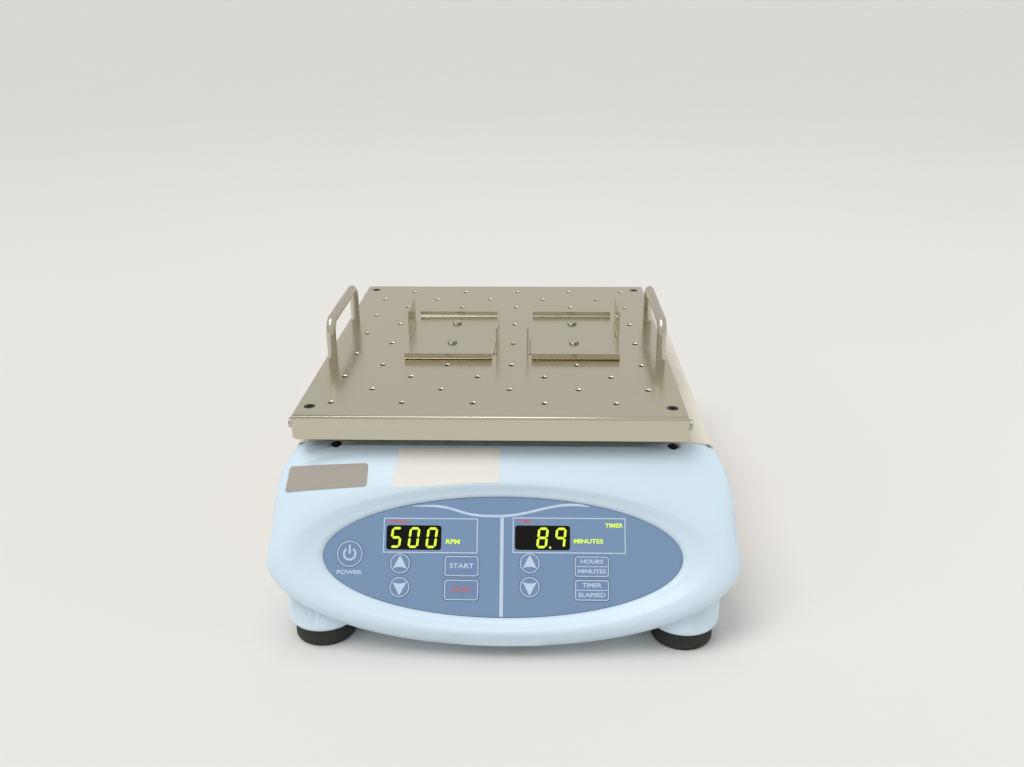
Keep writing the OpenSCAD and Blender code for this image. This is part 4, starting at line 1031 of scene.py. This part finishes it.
class SHAKER_OT_studio(bpy.types.Operator):
    """Set up the floor, the lamps, the world and the camera"""

    bl_idname = "shaker.studio"
    bl_label = "Studio"

    def execute(self, context):
        studio = context.scene.shaker_studio
        floor_paint = Paint("studio_floor", Roughness=1.0, Specular_IOR_Level=0.0)
        cloud = floor_paint.noise(400, detail=2)
        floor_paint.feed(
            "Base Color", floor_paint.mixed(cloud, shaded(studio.floor, 0.99), shaded(studio.floor, 1.01))
        )
        bpy.ops.mesh.primitive_plane_add(size=FLOOR_SIZE, location=(0, 0, 0))
        floor = context.view_layer.objects.active
        floor.name = "studio_floor"
        paint_over(floor, floor_paint)
        sun = bpy.data.lights.new("sun", "SUN")
        sun.energy = studio.sun
        sun.angle = math.radians(SUN_SPREAD)
        lamps = [(sun, SUN_FROM, (0, 0, 0))]
        for name, place, size in AREA_LAMPS:
            lamp = bpy.data.lights.new(name, "AREA")
            lamp.size = size
            lamp.energy = studio.fill
            lamps.append((lamp, place, LAMP_AIM))
        for lamp, place, aim in lamps:
            obj = bpy.data.objects.new(lamp.name, lamp)
            obj.location = place
            obj.rotation_euler = (Vector(aim) - Vector(place)).to_track_quat("-Z", "Y").to_euler()
            # Of the lamps, only the sun shows in metal
            obj.visible_glossy = lamp is sun
            context.scene.collection.objects.link(obj)
        light_world(context, studio)
        context.scene.view_settings.view_transform = "Standard"
        camera = bpy.data.cameras.new("photo_camera")
        camera.sensor_width = SENSOR_WIDTH
        camera.lens = studio.lens
        camera.clip_end = SIGHT_END
        obj = bpy.data.objects.new("photo_camera", camera)
        obj.location = CAMERA_PLACE
        obj.rotation_euler = [math.radians(angle) for angle in CAMERA_TURN]
        context.scene.collection.objects.link(obj)
        context.scene.camera = obj
        return {"FINISHED"}


OPERATORS = (
    SHAKER_OT_cowl,
    SHAKER_OT_plates,
    SHAKER_OT_case,
    SHAKER_OT_fasteners,
    SHAKER_OT_key_panel,
    SHAKER_OT_keys,
    SHAKER_OT_panel_print,
    SHAKER_OT_digits,
    SHAKER_OT_platform,
    SHAKER_OT_handles,
    SHAKER_OT_clips,
    SHAKER_OT_drive,
    SHAKER_OT_electrics,
    SHAKER_OT_studio,
)


class SHAKER_PT_panel(bpy.types.Panel):
    """Lists the settings and the steps of the shaker"""

    bl_label = "Orbital shaker"
    bl_idname = "SHAKER_PT_panel"
    bl_space_type = "VIEW_3D"
    bl_region_type = "UI"
    bl_category = "Shaker"

    def draw(self, context):
        scene = context.scene
        for group in (scene.shaker_finish, scene.shaker_display, scene.shaker_studio):
            box = self.layout.box()
            for key in group.__annotations__:
                box.prop(group, key)
        for step in OPERATORS:
            self.layout.operator(step.bl_idname)


CLASSES = (ShakerFinish, ShakerDisplay, ShakerStudio, *OPERATORS, SHAKER_PT_panel)


def register():
    for made in CLASSES:
        bpy.utils.register_class(made)
    bpy.types.Scene.shaker_finish = PointerProperty(type=ShakerFinish)
    bpy.types.Scene.shaker_display = PointerProperty(type=ShakerDisplay)
    bpy.types.Scene.shaker_studio = PointerProperty(type=ShakerStudio)


def unregister():
    del bpy.types.Scene.shaker_studio
    del bpy.types.Scene.shaker_display
    del bpy.types.Scene.shaker_finish
    for made in reversed(CLASSES):
        bpy.utils.unregister_class(made)


def main():
    register()
    paints.update(make_paints(bpy.context.scene.shaker_finish))
    bpy.ops.shaker.cowl()
    bpy.ops.shaker.plates()
    bpy.ops.shaker.case()
    bpy.ops.shaker.fasteners()
    bpy.ops.shaker.key_panel()
    bpy.ops.shaker.keys()
    bpy.ops.shaker.panel_print()
    bpy.ops.shaker.digits()
    bpy.ops.shaker.platform()
    bpy.ops.shaker.handles()
    bpy.ops.shaker.clips()
    bpy.ops.shaker.drive()
    bpy.ops.shaker.electrics()
    bpy.ops.shaker.studio()


if __name__ == "__main__":
    main()
